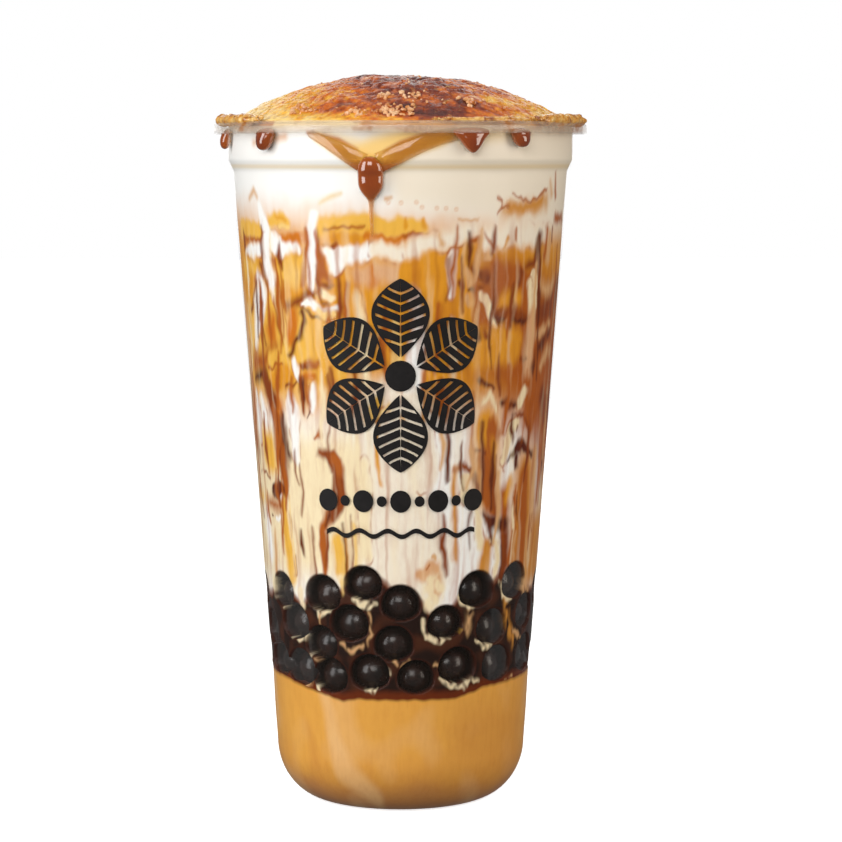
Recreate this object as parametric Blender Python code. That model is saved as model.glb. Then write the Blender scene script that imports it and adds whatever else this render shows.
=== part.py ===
"""Brown sugar bubble tea in a tall clear cup: milk tea, tapioca pearls, streaked milk and a torched cream dome.

The cup stands on its foot ring, centred on Z, with its foot at z = 0. Angles run from the front (-Y) towards +X.
"""

import math
import random

import bmesh
import bpy
from mathutils import Vector, noise

MM = 0.001

# Cup
CUP_HEIGHT = 164 * MM
RIM_RADIUS = 45 * MM
FOOT_RADIUS = 18 * MM
WALL = 0.8 * MM
CORNER_WIDTH = 12.4 * MM
CORNER_HEIGHT = 14.5 * MM
SHOULDER_LOW = 152.4 * MM
SHOULDER_HIGH = 155.1 * MM
WALL_TOP_RADIUS = 40.4 * MM
NECK_RADIUS = 41.65 * MM
RIM_THICKNESS = 1.1 * MM
RIM_DROP = 2.7 * MM
BASE_RECESS = 1.0 * MM
FOOT_RING_WIDTH = 2.6 * MM
RECESS_SLOPE = 0.8 * MM
CUP_SEGMENTS = 48

# Layers of the drink
GAP = 0.35 * MM
TEA_TOP = 28.8 * MM
HEAP_TOP = 53.5 * MM
MILK_TOP = 141.5 * MM
BOUNDARY_WAVE = 2.2 * MM
DOME_APEX = 175.3 * MM
DOME_EDGE = 164.3 * MM
DOME_EDGE_RADIUS = 40.5 * MM
DOME_POWER = 2.2
CRUST_RELIEF = 0.55 * MM
FLAT_CORE_RADIUS = 26 * MM
LAYER_SEGMENTS = 80

# Sugar clumps on the dome: those in front are placed as (angle in degrees, distance from the axis in millimetres)
CLUMP_RADIUS = 1.3 * MM
FRONT_CLUMPS = ((-40, 36), (-36, 34), (-20, 37), (-17, 30.5), (-7, 29), (-2, 37), (4, 29.5), (10, 37), (30, 33))
CLUMPS_ELSEWHERE = 8

# Tapioca pearls: those in front are placed as (angle in degrees, height in millimetres)
PEARL_RADIUS = 4.6 * MM
FRONT_PEARLS = (
    (-59, 52.7), (-34, 53.2), (-15.5, 56.2), (0, 51.6), (19, 46.8), (33, 54.2), (55, 55.1),
    (-74, 42.8), (-51, 45.7), (-36, 41.3), (-22, 46.6), (-3, 42.0), (42, 44.8), (66, 47.2),
    (-66, 35.6), (-49, 34.7), (-32, 33.7), (-13.5, 35.0), (6.5, 34.0), (25, 36.4), (46, 35.8), (69, 36.8),
)
BACK_ROWS = (34.5, 43.5, 52.5)
BACK_FROM, BACK_TO = 86, 274
PEARLS_PER_BACK_ROW = 9
CORE_RADIUS = 26.4 * MM

# Syrup that ran over the rim: (angle in degrees, height of its lower end in millimetres, thickness in millimetres)
RIM_DRIPS = (
    (-84, 157.6, 1.6), (-49, 157.2, 2.1), (20, 158.8, 1.4), (25, 156.8, 2.0), (29.5, 158.9, 1.4),
    (44, 157.9, 2.0), (118, 156.8, 1.8), (158, 158.6, 1.4), (203, 155.6, 1.9), (236, 158.2, 1.5),
)
# The run under the front of the rim that gathers in one hanging drop
RUN_LEFT = ((-31, 160.4, 0.5), (-24, 158.6, 0.9), (-16, 155.6, 1.2), (-9.6, 152.6, 1.5))
RUN_RIGHT = ((17, 160.2, 0.8), (10, 158.6, 1.1), (1, 155.8, 1.3), (-9.6, 152.6, 1.5))
RUN_DROP = (
    (-9.6, 154.2, 1.5), (-9.6, 151.8, 2.0), (-9.6, 149.4, 2.4), (-9.6, 147.6, 1.8),
    (-9.6, 146.2, 0.6), (-9.6, 142.2, 0.45), (-9.6, 138.4, 0.35),
)
# Sugar crust melted onto the rim: (first angle, last angle, thickness in millimetres)
RIM_CRUSTS = ((-81, -51, 1.6), (14, 44, 0.9), (51, 81, 1.7), (150, 174, 1.2), (226, 250, 1.0))


def clear_scene():
    for obj in list(bpy.data.objects):
        bpy.data.objects.remove(obj)


def material(name, colour, roughness):
    made = bpy.data.materials.new(name)
    made.use_nodes = True
    shader = made.node_tree.nodes["Principled BSDF"]
    shader.inputs["Base Color"].default_value = (*colour, 1)
    shader.inputs["Roughness"].default_value = roughness
    return made


def place(name, mesh, finish):
    obj = bpy.data.objects.new(name, mesh)
    bpy.context.scene.collection.objects.link(obj)
    mesh.materials.clear()
    mesh.materials.append(finish)
    mesh.shade_smooth()
    mesh.set_sharp_from_angle(angle=math.radians(35))
    return obj


def on_wall(angle, radius, height):
    """The point at an angle in degrees from the front, a radius and a height."""
    turn = math.radians(angle)
    return Vector((radius * math.sin(turn), -radius * math.cos(turn), height))


def between(value, low, high):
    return min(1, max(0, (value - low) / (high - low)))


def outer_radius(height):
    """The cup's outer radius above its rounded corner."""
    corner_radius = FOOT_RADIUS + CORNER_WIDTH
    up = between(height, CORNER_HEIGHT, SHOULDER_LOW)
    shoulder = between(height, SHOULDER_LOW, SHOULDER_HIGH)
    straight = corner_radius + (WALL_TOP_RADIUS - corner_radius) * up
    return straight + (NECK_RADIUS - WALL_TOP_RADIUS) * shoulder


def corner(inset, steps):
    """Points of the rounded bottom corner, from the foot up, inset from the outside by a thickness."""
    width, height = CORNER_WIDTH - inset, CORNER_HEIGHT - inset
    points = []
    for step in range(steps + 1):
        turn = math.pi / 2 * step / steps
        points.append((FOOT_RADIUS + width * math.sin(turn), CORNER_HEIGHT - height * math.cos(turn)))
    return points


def turned(name, profile, segments, finish):
    """A solid of revolution about Z from (radius, height) points, which start and end on the axis."""
    bm = bmesh.new()
    verts = [bm.verts.new((radius, 0, height)) for radius, height in profile]
    edges = [bm.edges.new(pair) for pair in zip(verts, verts[1:])]
    bmesh.ops.spin(bm, geom=verts + edges, cent=(0, 0, 0), axis=(0, 0, 1), angle=2 * math.pi,
                   steps=segments, use_merge=True)
    bmesh.ops.remove_doubles(bm, verts=bm.verts, dist=0.001 * MM)
    bmesh.ops.recalc_face_normals(bm, faces=bm.faces)
    mesh = bpy.data.meshes.new(name)
    bm.to_mesh(mesh)
    bm.free()
    return place(name, mesh, finish)


def fuse(obj, pieces):
    """Joins the pieces to the object with one Boolean union, and removes them."""
    group = bpy.data.collections.new(obj.name + "_pieces")
    bpy.context.scene.collection.children.link(group)
    for piece in pieces:
        bpy.context.scene.collection.objects.unlink(piece)
        group.objects.link(piece)
    joint = obj.modifiers.new("Fuse", "BOOLEAN")
    joint.operation = "UNION"
    joint.operand_type = "COLLECTION"
    joint.collection = group
    joint.solver = "EXACT"
    bpy.context.view_layer.objects.active = obj
    bpy.ops.object.modifier_apply(modifier=joint.name)
    for piece in pieces:
        bpy.data.objects.remove(piece)
    bpy.data.collections.remove(group)


def tube(name, points, finish):
    """A round run of syrup through (point, radius) pairs, with its ends closed."""
    curve = bpy.data.curves.new(name, "CURVE")
    curve.dimensions = "3D"
    curve.bevel_depth = 1 * MM
    curve.bevel_resolution = 1
    curve.use_fill_caps = True
    spline = curve.splines.new("POLY")
    spline.points.add(len(points) - 1)
    for knot, (place_at, radius) in zip(spline.points, points):
        knot.co = (*place_at, 1)
        knot.radius = radius / curve.bevel_depth
    obj = bpy.data.objects.new(name, curve)
    mesh = bpy.data.meshes.new_from_object(obj)
    bpy.data.objects.remove(obj)
    bm = bmesh.new()
    bm.from_mesh(mesh)
    bmesh.ops.remove_doubles(bm, verts=bm.verts, dist=0.01 * MM)
    bmesh.ops.recalc_face_normals(bm, faces=bm.faces)
    bm.to_mesh(mesh)
    bm.free()
    return place(name, mesh, finish)


def base_recess(inset):
    """Points of the raised middle of the base, from the axis out to the foot ring, lifted by an inset."""
    outer = FOOT_RADIUS - FOOT_RING_WIDTH
    return [(0, BASE_RECESS + inset), (outer - RECESS_SLOPE, BASE_RECESS + inset), (outer, inset)]


def cup_profile():
    """The cup's outline: outside from the base up, over the turned-down rim, and down the inside."""
    lip_low = CUP_HEIGHT - RIM_DROP
    lip_under = CUP_HEIGHT - RIM_THICKNESS
    outside = base_recess(0) + corner(0, 6)
    outside += [(outer_radius(SHOULDER_LOW), SHOULDER_LOW), (NECK_RADIUS, SHOULDER_HIGH), (NECK_RADIUS, lip_under)]
    lip = [
        (RIM_RADIUS - 1.0 * MM, lip_under),
        (RIM_RADIUS - 0.9 * MM, lip_low),
        (RIM_RADIUS - 0.2 * MM, lip_low),
        (RIM_RADIUS, lip_low + 0.3 * MM),
        (RIM_RADIUS, CUP_HEIGHT - 1.1 * MM),
        (RIM_RADIUS - 0.4 * MM, CUP_HEIGHT - 0.3 * MM),
        (RIM_RADIUS - 1.2 * MM, CUP_HEIGHT),
        (NECK_RADIUS + 0.2 * MM, CUP_HEIGHT),
        (NECK_RADIUS - WALL + 0.2 * MM, CUP_HEIGHT - 0.3 * MM),
        (NECK_RADIUS - WALL, CUP_HEIGHT - 1.1 * MM),
    ]
    inside = [(NECK_RADIUS - WALL, SHOULDER_HIGH), (outer_radius(SHOULDER_LOW) - WALL, SHOULDER_LOW)]
    inside += corner(WALL, 6)[::-1] + base_recess(WALL)[::-1]
    return outside + lip + inside


def rim_drip(angle, low, thick, finish):
    """Syrup that runs off the rim's top, over its lip, and hangs as a drop below it."""
    low, thick = low * MM, thick * MM
    lip_low = CUP_HEIGHT - RIM_DROP
    hang = outer_radius(low) + 0.75 * thick
    path = (
        (on_wall(angle, RIM_RADIUS - 1.6 * MM, CUP_HEIGHT), 0.4 * thick),
        (on_wall(angle, RIM_RADIUS - 0.35 * MM, CUP_HEIGHT - 0.6 * MM), 0.5 * thick),
        (on_wall(angle, RIM_RADIUS - 0.6 * MM, lip_low), 0.6 * thick),
        (on_wall(angle, hang, low + 1.5 * thick), thick),
        (on_wall(angle, hang - 0.2 * thick, low + 0.6 * thick), 0.85 * thick),
        (on_wall(angle, hang - 0.4 * thick, low), 0.4 * thick),
    )
    return tube("rim_drip", path, finish)


def wall_run(points, finish):
    """A run of syrup down the outside of the wall, pressed flat where it lies on the plastic."""
    path = []
    for angle, height, thick in points:
        radius = outer_radius(height * MM) + 0.3 * thick * MM
        path.append((on_wall(angle, radius, height * MM), thick * MM))
    run = tube("wall_run", path, finish)
    sunk = 0.4 * MM
    for vertex in run.data.vertices:
        least = outer_radius(vertex.co.z) - sunk
        away = vertex.co.xy.length
        if away < least:
            vertex.co.x *= least / away
            vertex.co.y *= least / away
    return run


def rim_crust(first, last, thick, finish):
    """A knobbly ridge of sugar crust along part of the rim's top."""
    step = 5
    draw = random.Random(first)
    path = []
    for angle in range(first, last + 1, step):
        radius = RIM_RADIUS - 1.9 * MM + draw.uniform(-0.3, 0.3) * MM
        size = thick * MM * draw.uniform(0.7, 1.05)
        path.append((on_wall(angle, radius, CUP_HEIGHT), size))
    return tube("rim_crust", path, finish)


def make_cup(plastic):
    cup = turned("cup", cup_profile(), CUP_SEGMENTS, plastic)
    extras = [rim_drip(*drip, plastic) for drip in RIM_DRIPS]
    extras += [wall_run(run, plastic) for run in (RUN_LEFT, RUN_RIGHT, RUN_DROP)]
    extras += [rim_crust(*crust, plastic) for crust in RIM_CRUSTS]
    fuse(cup, extras)


def inner_radius(height):
    """The drink's radius where it meets the wall, less the gap."""
    return outer_radius(height) - WALL - GAP


def make_milk_tea(finish):
    """The caramel-coloured tea at the bottom, which fills the rounded corner of the cup."""
    profile = base_recess(WALL + GAP) + corner(WALL + GAP, 5)
    profile += [(inner_radius(TEA_TOP), TEA_TOP), (0, TEA_TOP)]
    turned("milk_tea", profile, CUP_SEGMENTS, finish)


def pearl_places():
    """(centre, radius) of every pearl that shows at the wall. The back is filled in rows by a seeded rule."""
    draw = random.Random(7)
    spots = list(FRONT_PEARLS)
    spacing = (BACK_TO - BACK_FROM) / (PEARLS_PER_BACK_ROW - 1)
    for row, height in enumerate(BACK_ROWS):
        for number in range(PEARLS_PER_BACK_ROW - row % 2):
            angle = BACK_FROM + spacing * (number + row % 2 / 2) + draw.uniform(-2.5, 2.5)
            spots.append((angle, height + draw.uniform(-1.6, 1.8)))
    places = []
    for angle, height in spots:
        size = PEARL_RADIUS * draw.uniform(0.94, 1.05)
        centre = max(height * MM, TEA_TOP + GAP + size)
        away = inner_radius(centre) - size - 0.15 * MM
        places.append((on_wall(angle, away, centre), size))
    return places


def make_pearls(finish):
    """The heap of pearls: a smaller core with the pearls at the wall fused on."""
    low = TEA_TOP + GAP
    bevel = 2 * MM
    profile = [(0, low), (CORE_RADIUS - bevel, low), (CORE_RADIUS, low + bevel)]
    profile += [(CORE_RADIUS, HEAP_TOP - bevel), (CORE_RADIUS - bevel, HEAP_TOP), (0, HEAP_TOP)]
    core = turned("pearls", profile, 24, finish)
    balls = []
    for centre, size in pearl_places():
        bm = bmesh.new()
        bmesh.ops.create_uvsphere(bm, u_segments=8, v_segments=6, radius=size)
        bmesh.ops.translate(bm, verts=bm.verts, vec=centre)
        mesh = bpy.data.meshes.new("pearl")
        bm.to_mesh(mesh)
        bm.free()
        balls.append(place("pearl", mesh, finish))
    fuse(core, balls)


def above_pearls(point):
    """The underside of the milk at a point: it lies on the heap and drapes over each pearl."""
    side, over = 1.6 * MM, 0.6 * MM
    height = HEAP_TOP + GAP
    for centre, size in pearl_places():
        away = (Vector((point.x, point.y)) - centre.xy).length
        reach = size + over
        beyond = max(0, away - side)
        if beyond < reach:
            height = max(height, centre.z + math.sqrt(reach * reach - beyond * beyond))
    return height


def milk_boundary(point):
    """The uneven level where the white cream meets the streaked milk. It flattens towards the middle."""
    turn = math.atan2(point.x, -point.y)
    edge = min(1, point.xy.length / WALL_TOP_RADIUS) ** 2
    wave = 0.7 * math.sin(turn + 0.6) + 0.45 * math.sin(3 * turn - 0.5) + 0.35 * math.sin(5 * turn + 1.2)
    return MILK_TOP + BOUNDARY_WAVE * edge * wave


def lay(obj, level, surface):
    """Moves the points that lie at a flat level onto a surface, and its outer ring onto the wall."""
    for vertex in obj.data.vertices:
        point = vertex.co
        if abs(point.z - level) > 0.001 * MM:
            continue
        at_wall = point.xy.length > inner_radius(level) - 0.01 * MM
        point.z = surface(point)
        if at_wall:
            scale = inner_radius(point.z) / point.xy.length
            point.x *= scale
            point.y *= scale


def make_milk(finish):
    """The milk with brown sugar streaks, from the pearls up to the cream."""
    low = HEAP_TOP + GAP
    rings = [20 * MM, 22.5 * MM, 25 * MM, 27.5 * MM, 30 * MM, inner_radius(low)]
    profile = [(0, low)] + [(radius, low) for radius in rings]
    profile += [(inner_radius(MILK_TOP), MILK_TOP), (FLAT_CORE_RADIUS, MILK_TOP), (0, MILK_TOP)]
    milk = turned("streaked_milk", profile, LAYER_SEGMENTS, finish)
    lay(milk, low, above_pearls)
    lay(milk, MILK_TOP, milk_boundary)


def dome_height(point):
    """The torched dome: a shallow mound with a crackled, blistered crust."""
    away = min(1, point.xy.length / DOME_EDGE_RADIUS)
    mound = DOME_APEX - (DOME_APEX - DOME_EDGE) * away**DOME_POWER
    blister = 7.5 * MM
    crags = noise.fractal(Vector((point.x / blister, point.y / blister, 0.5)), 1.0, 2.0, 4)
    fade = between(1 - away, 0, 0.12)
    return mound + CRUST_RELIEF * crags * fade


def sugar_clump(draw, angle, away, finish):
    """A lump of sugar grains, half sunk in the crust."""
    centre = on_wall(angle, away, 0)
    centre.z = dome_height(centre)
    bm = bmesh.new()
    bmesh.ops.create_icosphere(bm, subdivisions=1, radius=CLUMP_RADIUS * draw.uniform(0.7, 1.2))
    for vertex in bm.verts:
        vertex.co *= draw.uniform(0.75, 1.15)
    bmesh.ops.translate(bm, verts=bm.verts, vec=centre)
    mesh = bpy.data.meshes.new("sugar_clump")
    bm.to_mesh(mesh)
    bm.free()
    return place("sugar_clump", mesh, finish)


def make_cream(finish):
    """The white cream layer and the dome that stands above the rim, with sugar clumps on its crust."""
    low = MILK_TOP + GAP
    profile = [(0, low), (FLAT_CORE_RADIUS, low), (inner_radius(low), low)]
    profile += [(inner_radius(height), height) for height in (SHOULDER_LOW, SHOULDER_HIGH)]
    profile += [(DOME_EDGE_RADIUS, CUP_HEIGHT - 1.0 * MM)]
    rings = 12
    profile += [(DOME_EDGE_RADIUS * (1 - (ring / rings) ** 1.2), DOME_EDGE) for ring in range(rings + 1)]
    cream = turned("cream", profile, LAYER_SEGMENTS // 2, finish)
    lay(cream, low, lambda point: milk_boundary(point) + GAP)
    for vertex in cream.data.vertices:
        if abs(vertex.co.z - DOME_EDGE) < 0.001 * MM:
            vertex.co.z = dome_height(vertex.co)
    draw = random.Random(3)
    clumps = [sugar_clump(draw, angle, away * MM, finish) for angle, away in FRONT_CLUMPS]
    for _ in range(CLUMPS_ELSEWHERE):
        clumps.append(sugar_clump(draw, draw.uniform(60, 300), draw.uniform(8, 36) * MM, finish))
    fuse(cream, clumps)


clear_scene()
make_cup(material("clear_plastic", (0.90, 0.89, 0.86), 0.12))
make_milk_tea(material("caramel_tea", (0.62, 0.30, 0.08), 0.35))
make_pearls(material("tapioca", (0.02, 0.013, 0.01), 0.2))
make_milk(material("brown_sugar_milk", (0.60, 0.30, 0.08), 0.35))
make_cream(material("cream", (0.80, 0.66, 0.45), 0.5))
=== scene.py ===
"""Brown sugar bubble tea in a tall clear cup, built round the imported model. Metres, +Z up, front at -Y."""

import math
import random

import bmesh
import bpy
import numpy as np
from mathutils import Matrix, Vector, noise


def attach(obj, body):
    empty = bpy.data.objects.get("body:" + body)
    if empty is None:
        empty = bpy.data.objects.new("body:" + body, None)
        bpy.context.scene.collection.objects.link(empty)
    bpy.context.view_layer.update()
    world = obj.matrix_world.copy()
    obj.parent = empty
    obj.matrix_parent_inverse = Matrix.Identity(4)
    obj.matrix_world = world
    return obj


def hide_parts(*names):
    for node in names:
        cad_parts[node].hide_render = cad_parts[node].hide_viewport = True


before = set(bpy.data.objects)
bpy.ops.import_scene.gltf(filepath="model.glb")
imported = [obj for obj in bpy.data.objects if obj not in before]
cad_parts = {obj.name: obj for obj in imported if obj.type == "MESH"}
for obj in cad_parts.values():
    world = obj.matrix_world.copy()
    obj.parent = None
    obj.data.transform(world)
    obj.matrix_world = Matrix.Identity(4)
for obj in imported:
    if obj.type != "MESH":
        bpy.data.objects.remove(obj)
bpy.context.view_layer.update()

# The view: a long lens a little below the rim's height, looking slightly down, with the cup just left of the
# middle. A big soft light stands at the left front, a second one in front, and a warmer one fills in from the
# right. Behind everything is plain white.
MM = 0.001
EYE = Vector((0, -0.720, 0.1548))
AIM = Vector((0.00496, 0, 0.0919))
LENS_PIXELS = 2976.7
PICTURE_PIXELS = 842

eye = bpy.data.cameras.new("eye")
eye.sensor_width = 36
eye.lens = LENS_PIXELS / PICTURE_PIXELS * eye.sensor_width
camera = bpy.data.objects.new("eye", eye)
camera.location = EYE
camera.rotation_euler = (AIM - EYE).to_track_quat("-Z", "Y").to_euler()
bpy.context.scene.collection.objects.link(camera)
bpy.context.scene.camera = camera
bpy.context.scene.view_settings.view_transform = "Standard"


def softbox(name, place, size, watts, colour):
    lamp = bpy.data.lights.new(name, "AREA")
    lamp.shape = "RECTANGLE"
    lamp.size, lamp.size_y = size
    lamp.energy = watts
    lamp.color = colour
    box = bpy.data.objects.new(name, lamp)
    box.location = place
    box.rotation_euler = (Vector((0, 0, 0.09)) - place).to_track_quat("-Z", "Y").to_euler()
    bpy.context.scene.collection.objects.link(box)


softbox("key_light", Vector((-0.85, -0.50, 0.30)), (0.5, 0.8), 7.1, (1, 1, 1))
softbox("front_light", Vector((-0.20, -1.0, 0.50)), (0.6, 0.5), 5.6, (1, 0.98, 0.95))
softbox("fill_light", Vector((0.8, -0.35, 0.25)), (0.4, 0.6), 3.6, (1, 0.91, 0.8))
softbox("top_light", Vector((0.05, 0.1, 0.75)), (0.5, 0.5), 1.2, (1, 0.98, 0.95))
softbox("back_light", Vector((-0.1, 0.9, 0.4)), (0.8, 0.6), 2.4, (1, 0.98, 0.95))

room = bpy.data.worlds.new("room")
room.use_nodes = True
bpy.context.scene.world = room
sky = room.node_tree.nodes["Background"]
sky.inputs["Color"].default_value = (1, 1, 1, 1)
path = room.node_tree.nodes.new("ShaderNodeLightPath")
seen = room.node_tree.nodes.new("ShaderNodeMapRange")
seen.inputs["To Min"].default_value = 0.18
seen.inputs["To Max"].default_value = 1.0
room.node_tree.links.new(path.outputs["Is Camera Ray"], seen.inputs["Value"])
room.node_tree.links.new(seen.outputs["Result"], sky.inputs["Strength"])


# The cup: clear plastic, blown thin, with a rounded bottom corner, a straight taper, a stepped neck and a rim
# rolled outwards and down. Turned from its outline as one closed shell, with syrup smeared on the rim.
CUP_HEIGHT = 164 * MM
FOOT_RADIUS = 18 * MM
WALL = 0.8 * MM
CORNER_WIDTH = 12.4 * MM
CORNER_HEIGHT = 14.5 * MM
SHOULDER_LOW = 152.4 * MM
SHOULDER_HIGH = 155.1 * MM
WALL_TOP_RADIUS = 40.4 * MM
NECK_RADIUS = 41.65 * MM
LIP_LOW = CUP_HEIGHT - 2.7 * MM
FRONT_HALF = 96
SHORT_TURN = 10
SHARP_ANGLE = 70


class Socket:
    """A shader socket that takes Python's operators. Each expression adds its Math node."""

    def __init__(self, link, tree):
        self.link, self.tree = link, tree

    def math(self, operation, *values):
        return node(self.tree, "ShaderNodeMath", {"operation": operation}, dict(enumerate(values)))[0]

    def __add__(self, other):
        return self.math("ADD", self, other)

    def __mul__(self, other):
        return self.math("MULTIPLY", self, other)

    def __sub__(self, other):
        return self.math("SUBTRACT", self, other)

    def __rsub__(self, other):
        return self.math("SUBTRACT", other, self)

    __radd__ = __add__
    __rmul__ = __mul__

    def clipped(self, low, high):
        return node(self.tree, "ShaderNodeMapRange", {"clamp": True}, {0: self, 1: low, 2: high})[0]


def node(tree, kind, settings=None, sockets=None):
    """Adds a node, its settings first and then its sockets' values or links, and returns its outputs."""
    made = tree.nodes.new(kind)
    for name, value in (settings or {}).items():
        if name == "stops":
            ramp = made.color_ramp
            while len(ramp.elements) < len(value):
                ramp.elements.new(0.5)
            for element, (position, colour) in zip(ramp.elements, value):
                element.position = position
                element.color = (*colour, 1)
        else:
            setattr(made, name, value)
    for name, value in (sockets or {}).items():
        if isinstance(value, Socket):
            tree.links.new(value.link, made.inputs[name])
        else:
            made.inputs[name].default_value = value
    return [Socket(output, tree) for output in made.outputs]


def finish(name, **settings):
    """A new material, its node tree and its Principled shader, whose own sockets hold the constants."""
    made = bpy.data.materials.new(name)
    made.use_nodes = True
    shader = made.node_tree.nodes["Principled BSDF"]
    for label, value in settings.items():
        shader.inputs[label.replace("_", " ")].default_value = value
    return made, made.node_tree, shader


def feed(tree, value, socket):
    tree.links.new(value.link, socket)


def own_place(tree):
    """The piece's own coordinates, for patterns that stay on it."""
    return node(tree, "ShaderNodeTexCoord")[3]


def grain_noise(tree, spot, scale, detail=3, roughness=0.6):
    return node(tree, "ShaderNodeTexNoise", None,
                {"Vector": spot, "Scale": scale, "Detail": detail, "Roughness": roughness})[0]


def rgb(red, green, blue):
    """A colour as the eye reads it, from 0 to 255, as the linear values that Blender works in."""
    return np.array([((v / 255 + 0.055) / 1.055) ** 2.4 if v > 10 else v / 3295 for v in (red, green, blue)])


def between(value, low, high):
    return np.clip((value - low) / (high - low), 0, 1)


def outer_radius(height):
    """The cup's outer radius above its rounded corner, for a height or an array of them."""
    low = FOOT_RADIUS + CORNER_WIDTH
    straight = low + (WALL_TOP_RADIUS - low) * between(height, CORNER_HEIGHT, SHOULDER_LOW)
    return straight + (NECK_RADIUS - WALL_TOP_RADIUS) * between(height, SHOULDER_LOW, SHOULDER_HIGH)


def inner_radius(height):
    return outer_radius(height) - WALL


def wall_rows(radius_at, heights):
    """The points of an outline that climbs a wall, for heights in mm."""
    return [(float(radius_at(height * MM)), height * MM) for height in heights]


def corner(inset, steps):
    """The rounded bottom corner as (radius, height) points, from the foot up."""
    turns = [math.pi / 2 * step / steps for step in range(steps + 1)]
    return [(FOOT_RADIUS + (CORNER_WIDTH - inset) * math.sin(turn),
             CORNER_HEIGHT - (CORNER_HEIGHT - inset) * math.cos(turn)) for turn in turns]


def base_recess(inset):
    """The raised middle of the base, from the axis out to the foot ring."""
    outer = FOOT_RADIUS - 2.6 * MM
    return [(0, 1 * MM + inset), (outer - 0.8 * MM, 1 * MM + inset), (outer, inset)]


def on_wall(angle, radius, height):
    """The point at an angle in degrees from the front, a radius and a height."""
    turn = math.radians(angle)
    return Vector((radius * math.sin(turn), -radius * math.cos(turn), height))


def turned(profile, front_steps, back_steps):
    """Spins an outline about Z, in fine steps round the front and coarser ones behind. Copies of a short
    turn make up each part, because one long spin is slow."""
    whole = bmesh.new()
    around = {"cent": (0, 0, 0), "axis": (0, 0, 1), "use_merge": False}
    for first, angle, steps in ((-FRONT_HALF, 2 * FRONT_HALF, front_steps),
                                (FRONT_HALF, 360 - 2 * FRONT_HALF, back_steps)):
        part = bmesh.new()
        verts = [part.verts.new(on_wall(first, radius, height)) for radius, height in profile]
        edges = [part.edges.new(pair) for pair in zip(verts, verts[1:])]
        copies = steps // SHORT_TURN
        short = math.radians(angle) / copies
        bmesh.ops.spin(part, geom=verts + edges, angle=short, steps=SHORT_TURN, **around)
        bmesh.ops.spin(part, geom=part.verts[:] + part.edges[:] + part.faces[:], angle=short * (copies - 1),
                       steps=copies - 1, use_duplicate=True, **around)
        mesh = bpy.data.meshes.new("part")
        part.to_mesh(mesh)
        part.free()
        whole.from_mesh(mesh)
        bpy.data.meshes.remove(mesh)
    bmesh.ops.remove_doubles(whole, verts=whole.verts, dist=0.003 * MM)
    bmesh.ops.recalc_face_normals(whole, faces=whole.faces)
    return whole


def piece(name, bm, material, slot, *nodes):
    """Makes an object of a finished bmesh, which rides on the part and may stand for nodes of the model."""
    mesh = bpy.data.meshes.new(name)
    bm.to_mesh(mesh)
    bm.free()
    mesh.materials.append(material)
    mesh.shade_smooth()
    mesh.set_sharp_from_angle(angle=math.radians(SHARP_ANGLE))
    made = bpy.data.objects.new(name, mesh)
    bpy.context.scene.collection.objects.link(made)
    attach(made, "root")
    if nodes:
        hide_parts(*nodes)
    return made


outside = base_recess(0) + corner(0, 14)
outside += wall_rows(outer_radius, (40, 70, 100, 130, 151.6, 152.4, 153.2, 154.4, 155.1))
outside += [(NECK_RADIUS + 0.02 * MM, 158 * MM), (NECK_RADIUS + 0.1 * MM, 162.9 * MM)]
lip = [(44.0, 162.9), (44.1, 161.3), (44.3, 161.15), (44.8, 161.3), (45.0, 161.7), (45.0, 162.8),
       (44.85, 163.4), (44.5, 163.8), (43.8, 164.0), (42.2, 164.0), (41.5, 163.9), (41.1, 163.5),
       (40.95, 162.9)]
inside = wall_rows(inner_radius, (158, 155.1, 153.8, 152.4, 130, 100, 70, 40))
cup_bm = turned(outside + [(radius * MM, height * MM) for radius, height in lip] + inside
                + corner(WALL, 14)[::-1] + base_recess(WALL)[::-1], 110, 90)

clear, tree, shader = finish("clear_plastic", Roughness=0.12, IOR=1.45)
level = node(tree, "ShaderNodeSeparateXYZ", None, {0: own_place(tree)})[2]
rolled = level.clipped(LIP_LOW - 1 * MM, LIP_LOW + 0.6 * MM)
smeared = grain_noise(tree, own_place(tree), 130, 4, 0.7).clipped(0.5, 0.66) * rolled
stained = node(tree, "ShaderNodeMix", {"data_type": "RGBA"},
               {0: smeared, 6: (*rgb(240, 224, 204), 1), 7: (*rgb(178, 108, 40), 1)})[2]
feed(tree, stained, shader.inputs["Base Color"])
feed(tree, rolled * 0.18 + smeared * 0.42 + 0.004, shader.inputs["Alpha"])
gloss = tree.nodes.new("ShaderNodeBsdfGlossy")
gloss.inputs["Roughness"].default_value = 0.07
mixer = tree.nodes.new("ShaderNodeMixShader")
feed(tree, node(tree, "ShaderNodeFresnel", None, {"IOR": 1.4})[0] * 0.15, mixer.inputs[0])
tree.links.new(shader.outputs[0], mixer.inputs[1])
tree.links.new(gloss.outputs[0], mixer.inputs[2])
tree.links.new(mixer.outputs[0], tree.nodes["Material Output"].inputs[0])
piece("clear_cup", cup_bm, clear, "clear_plastic", "cup")


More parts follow.
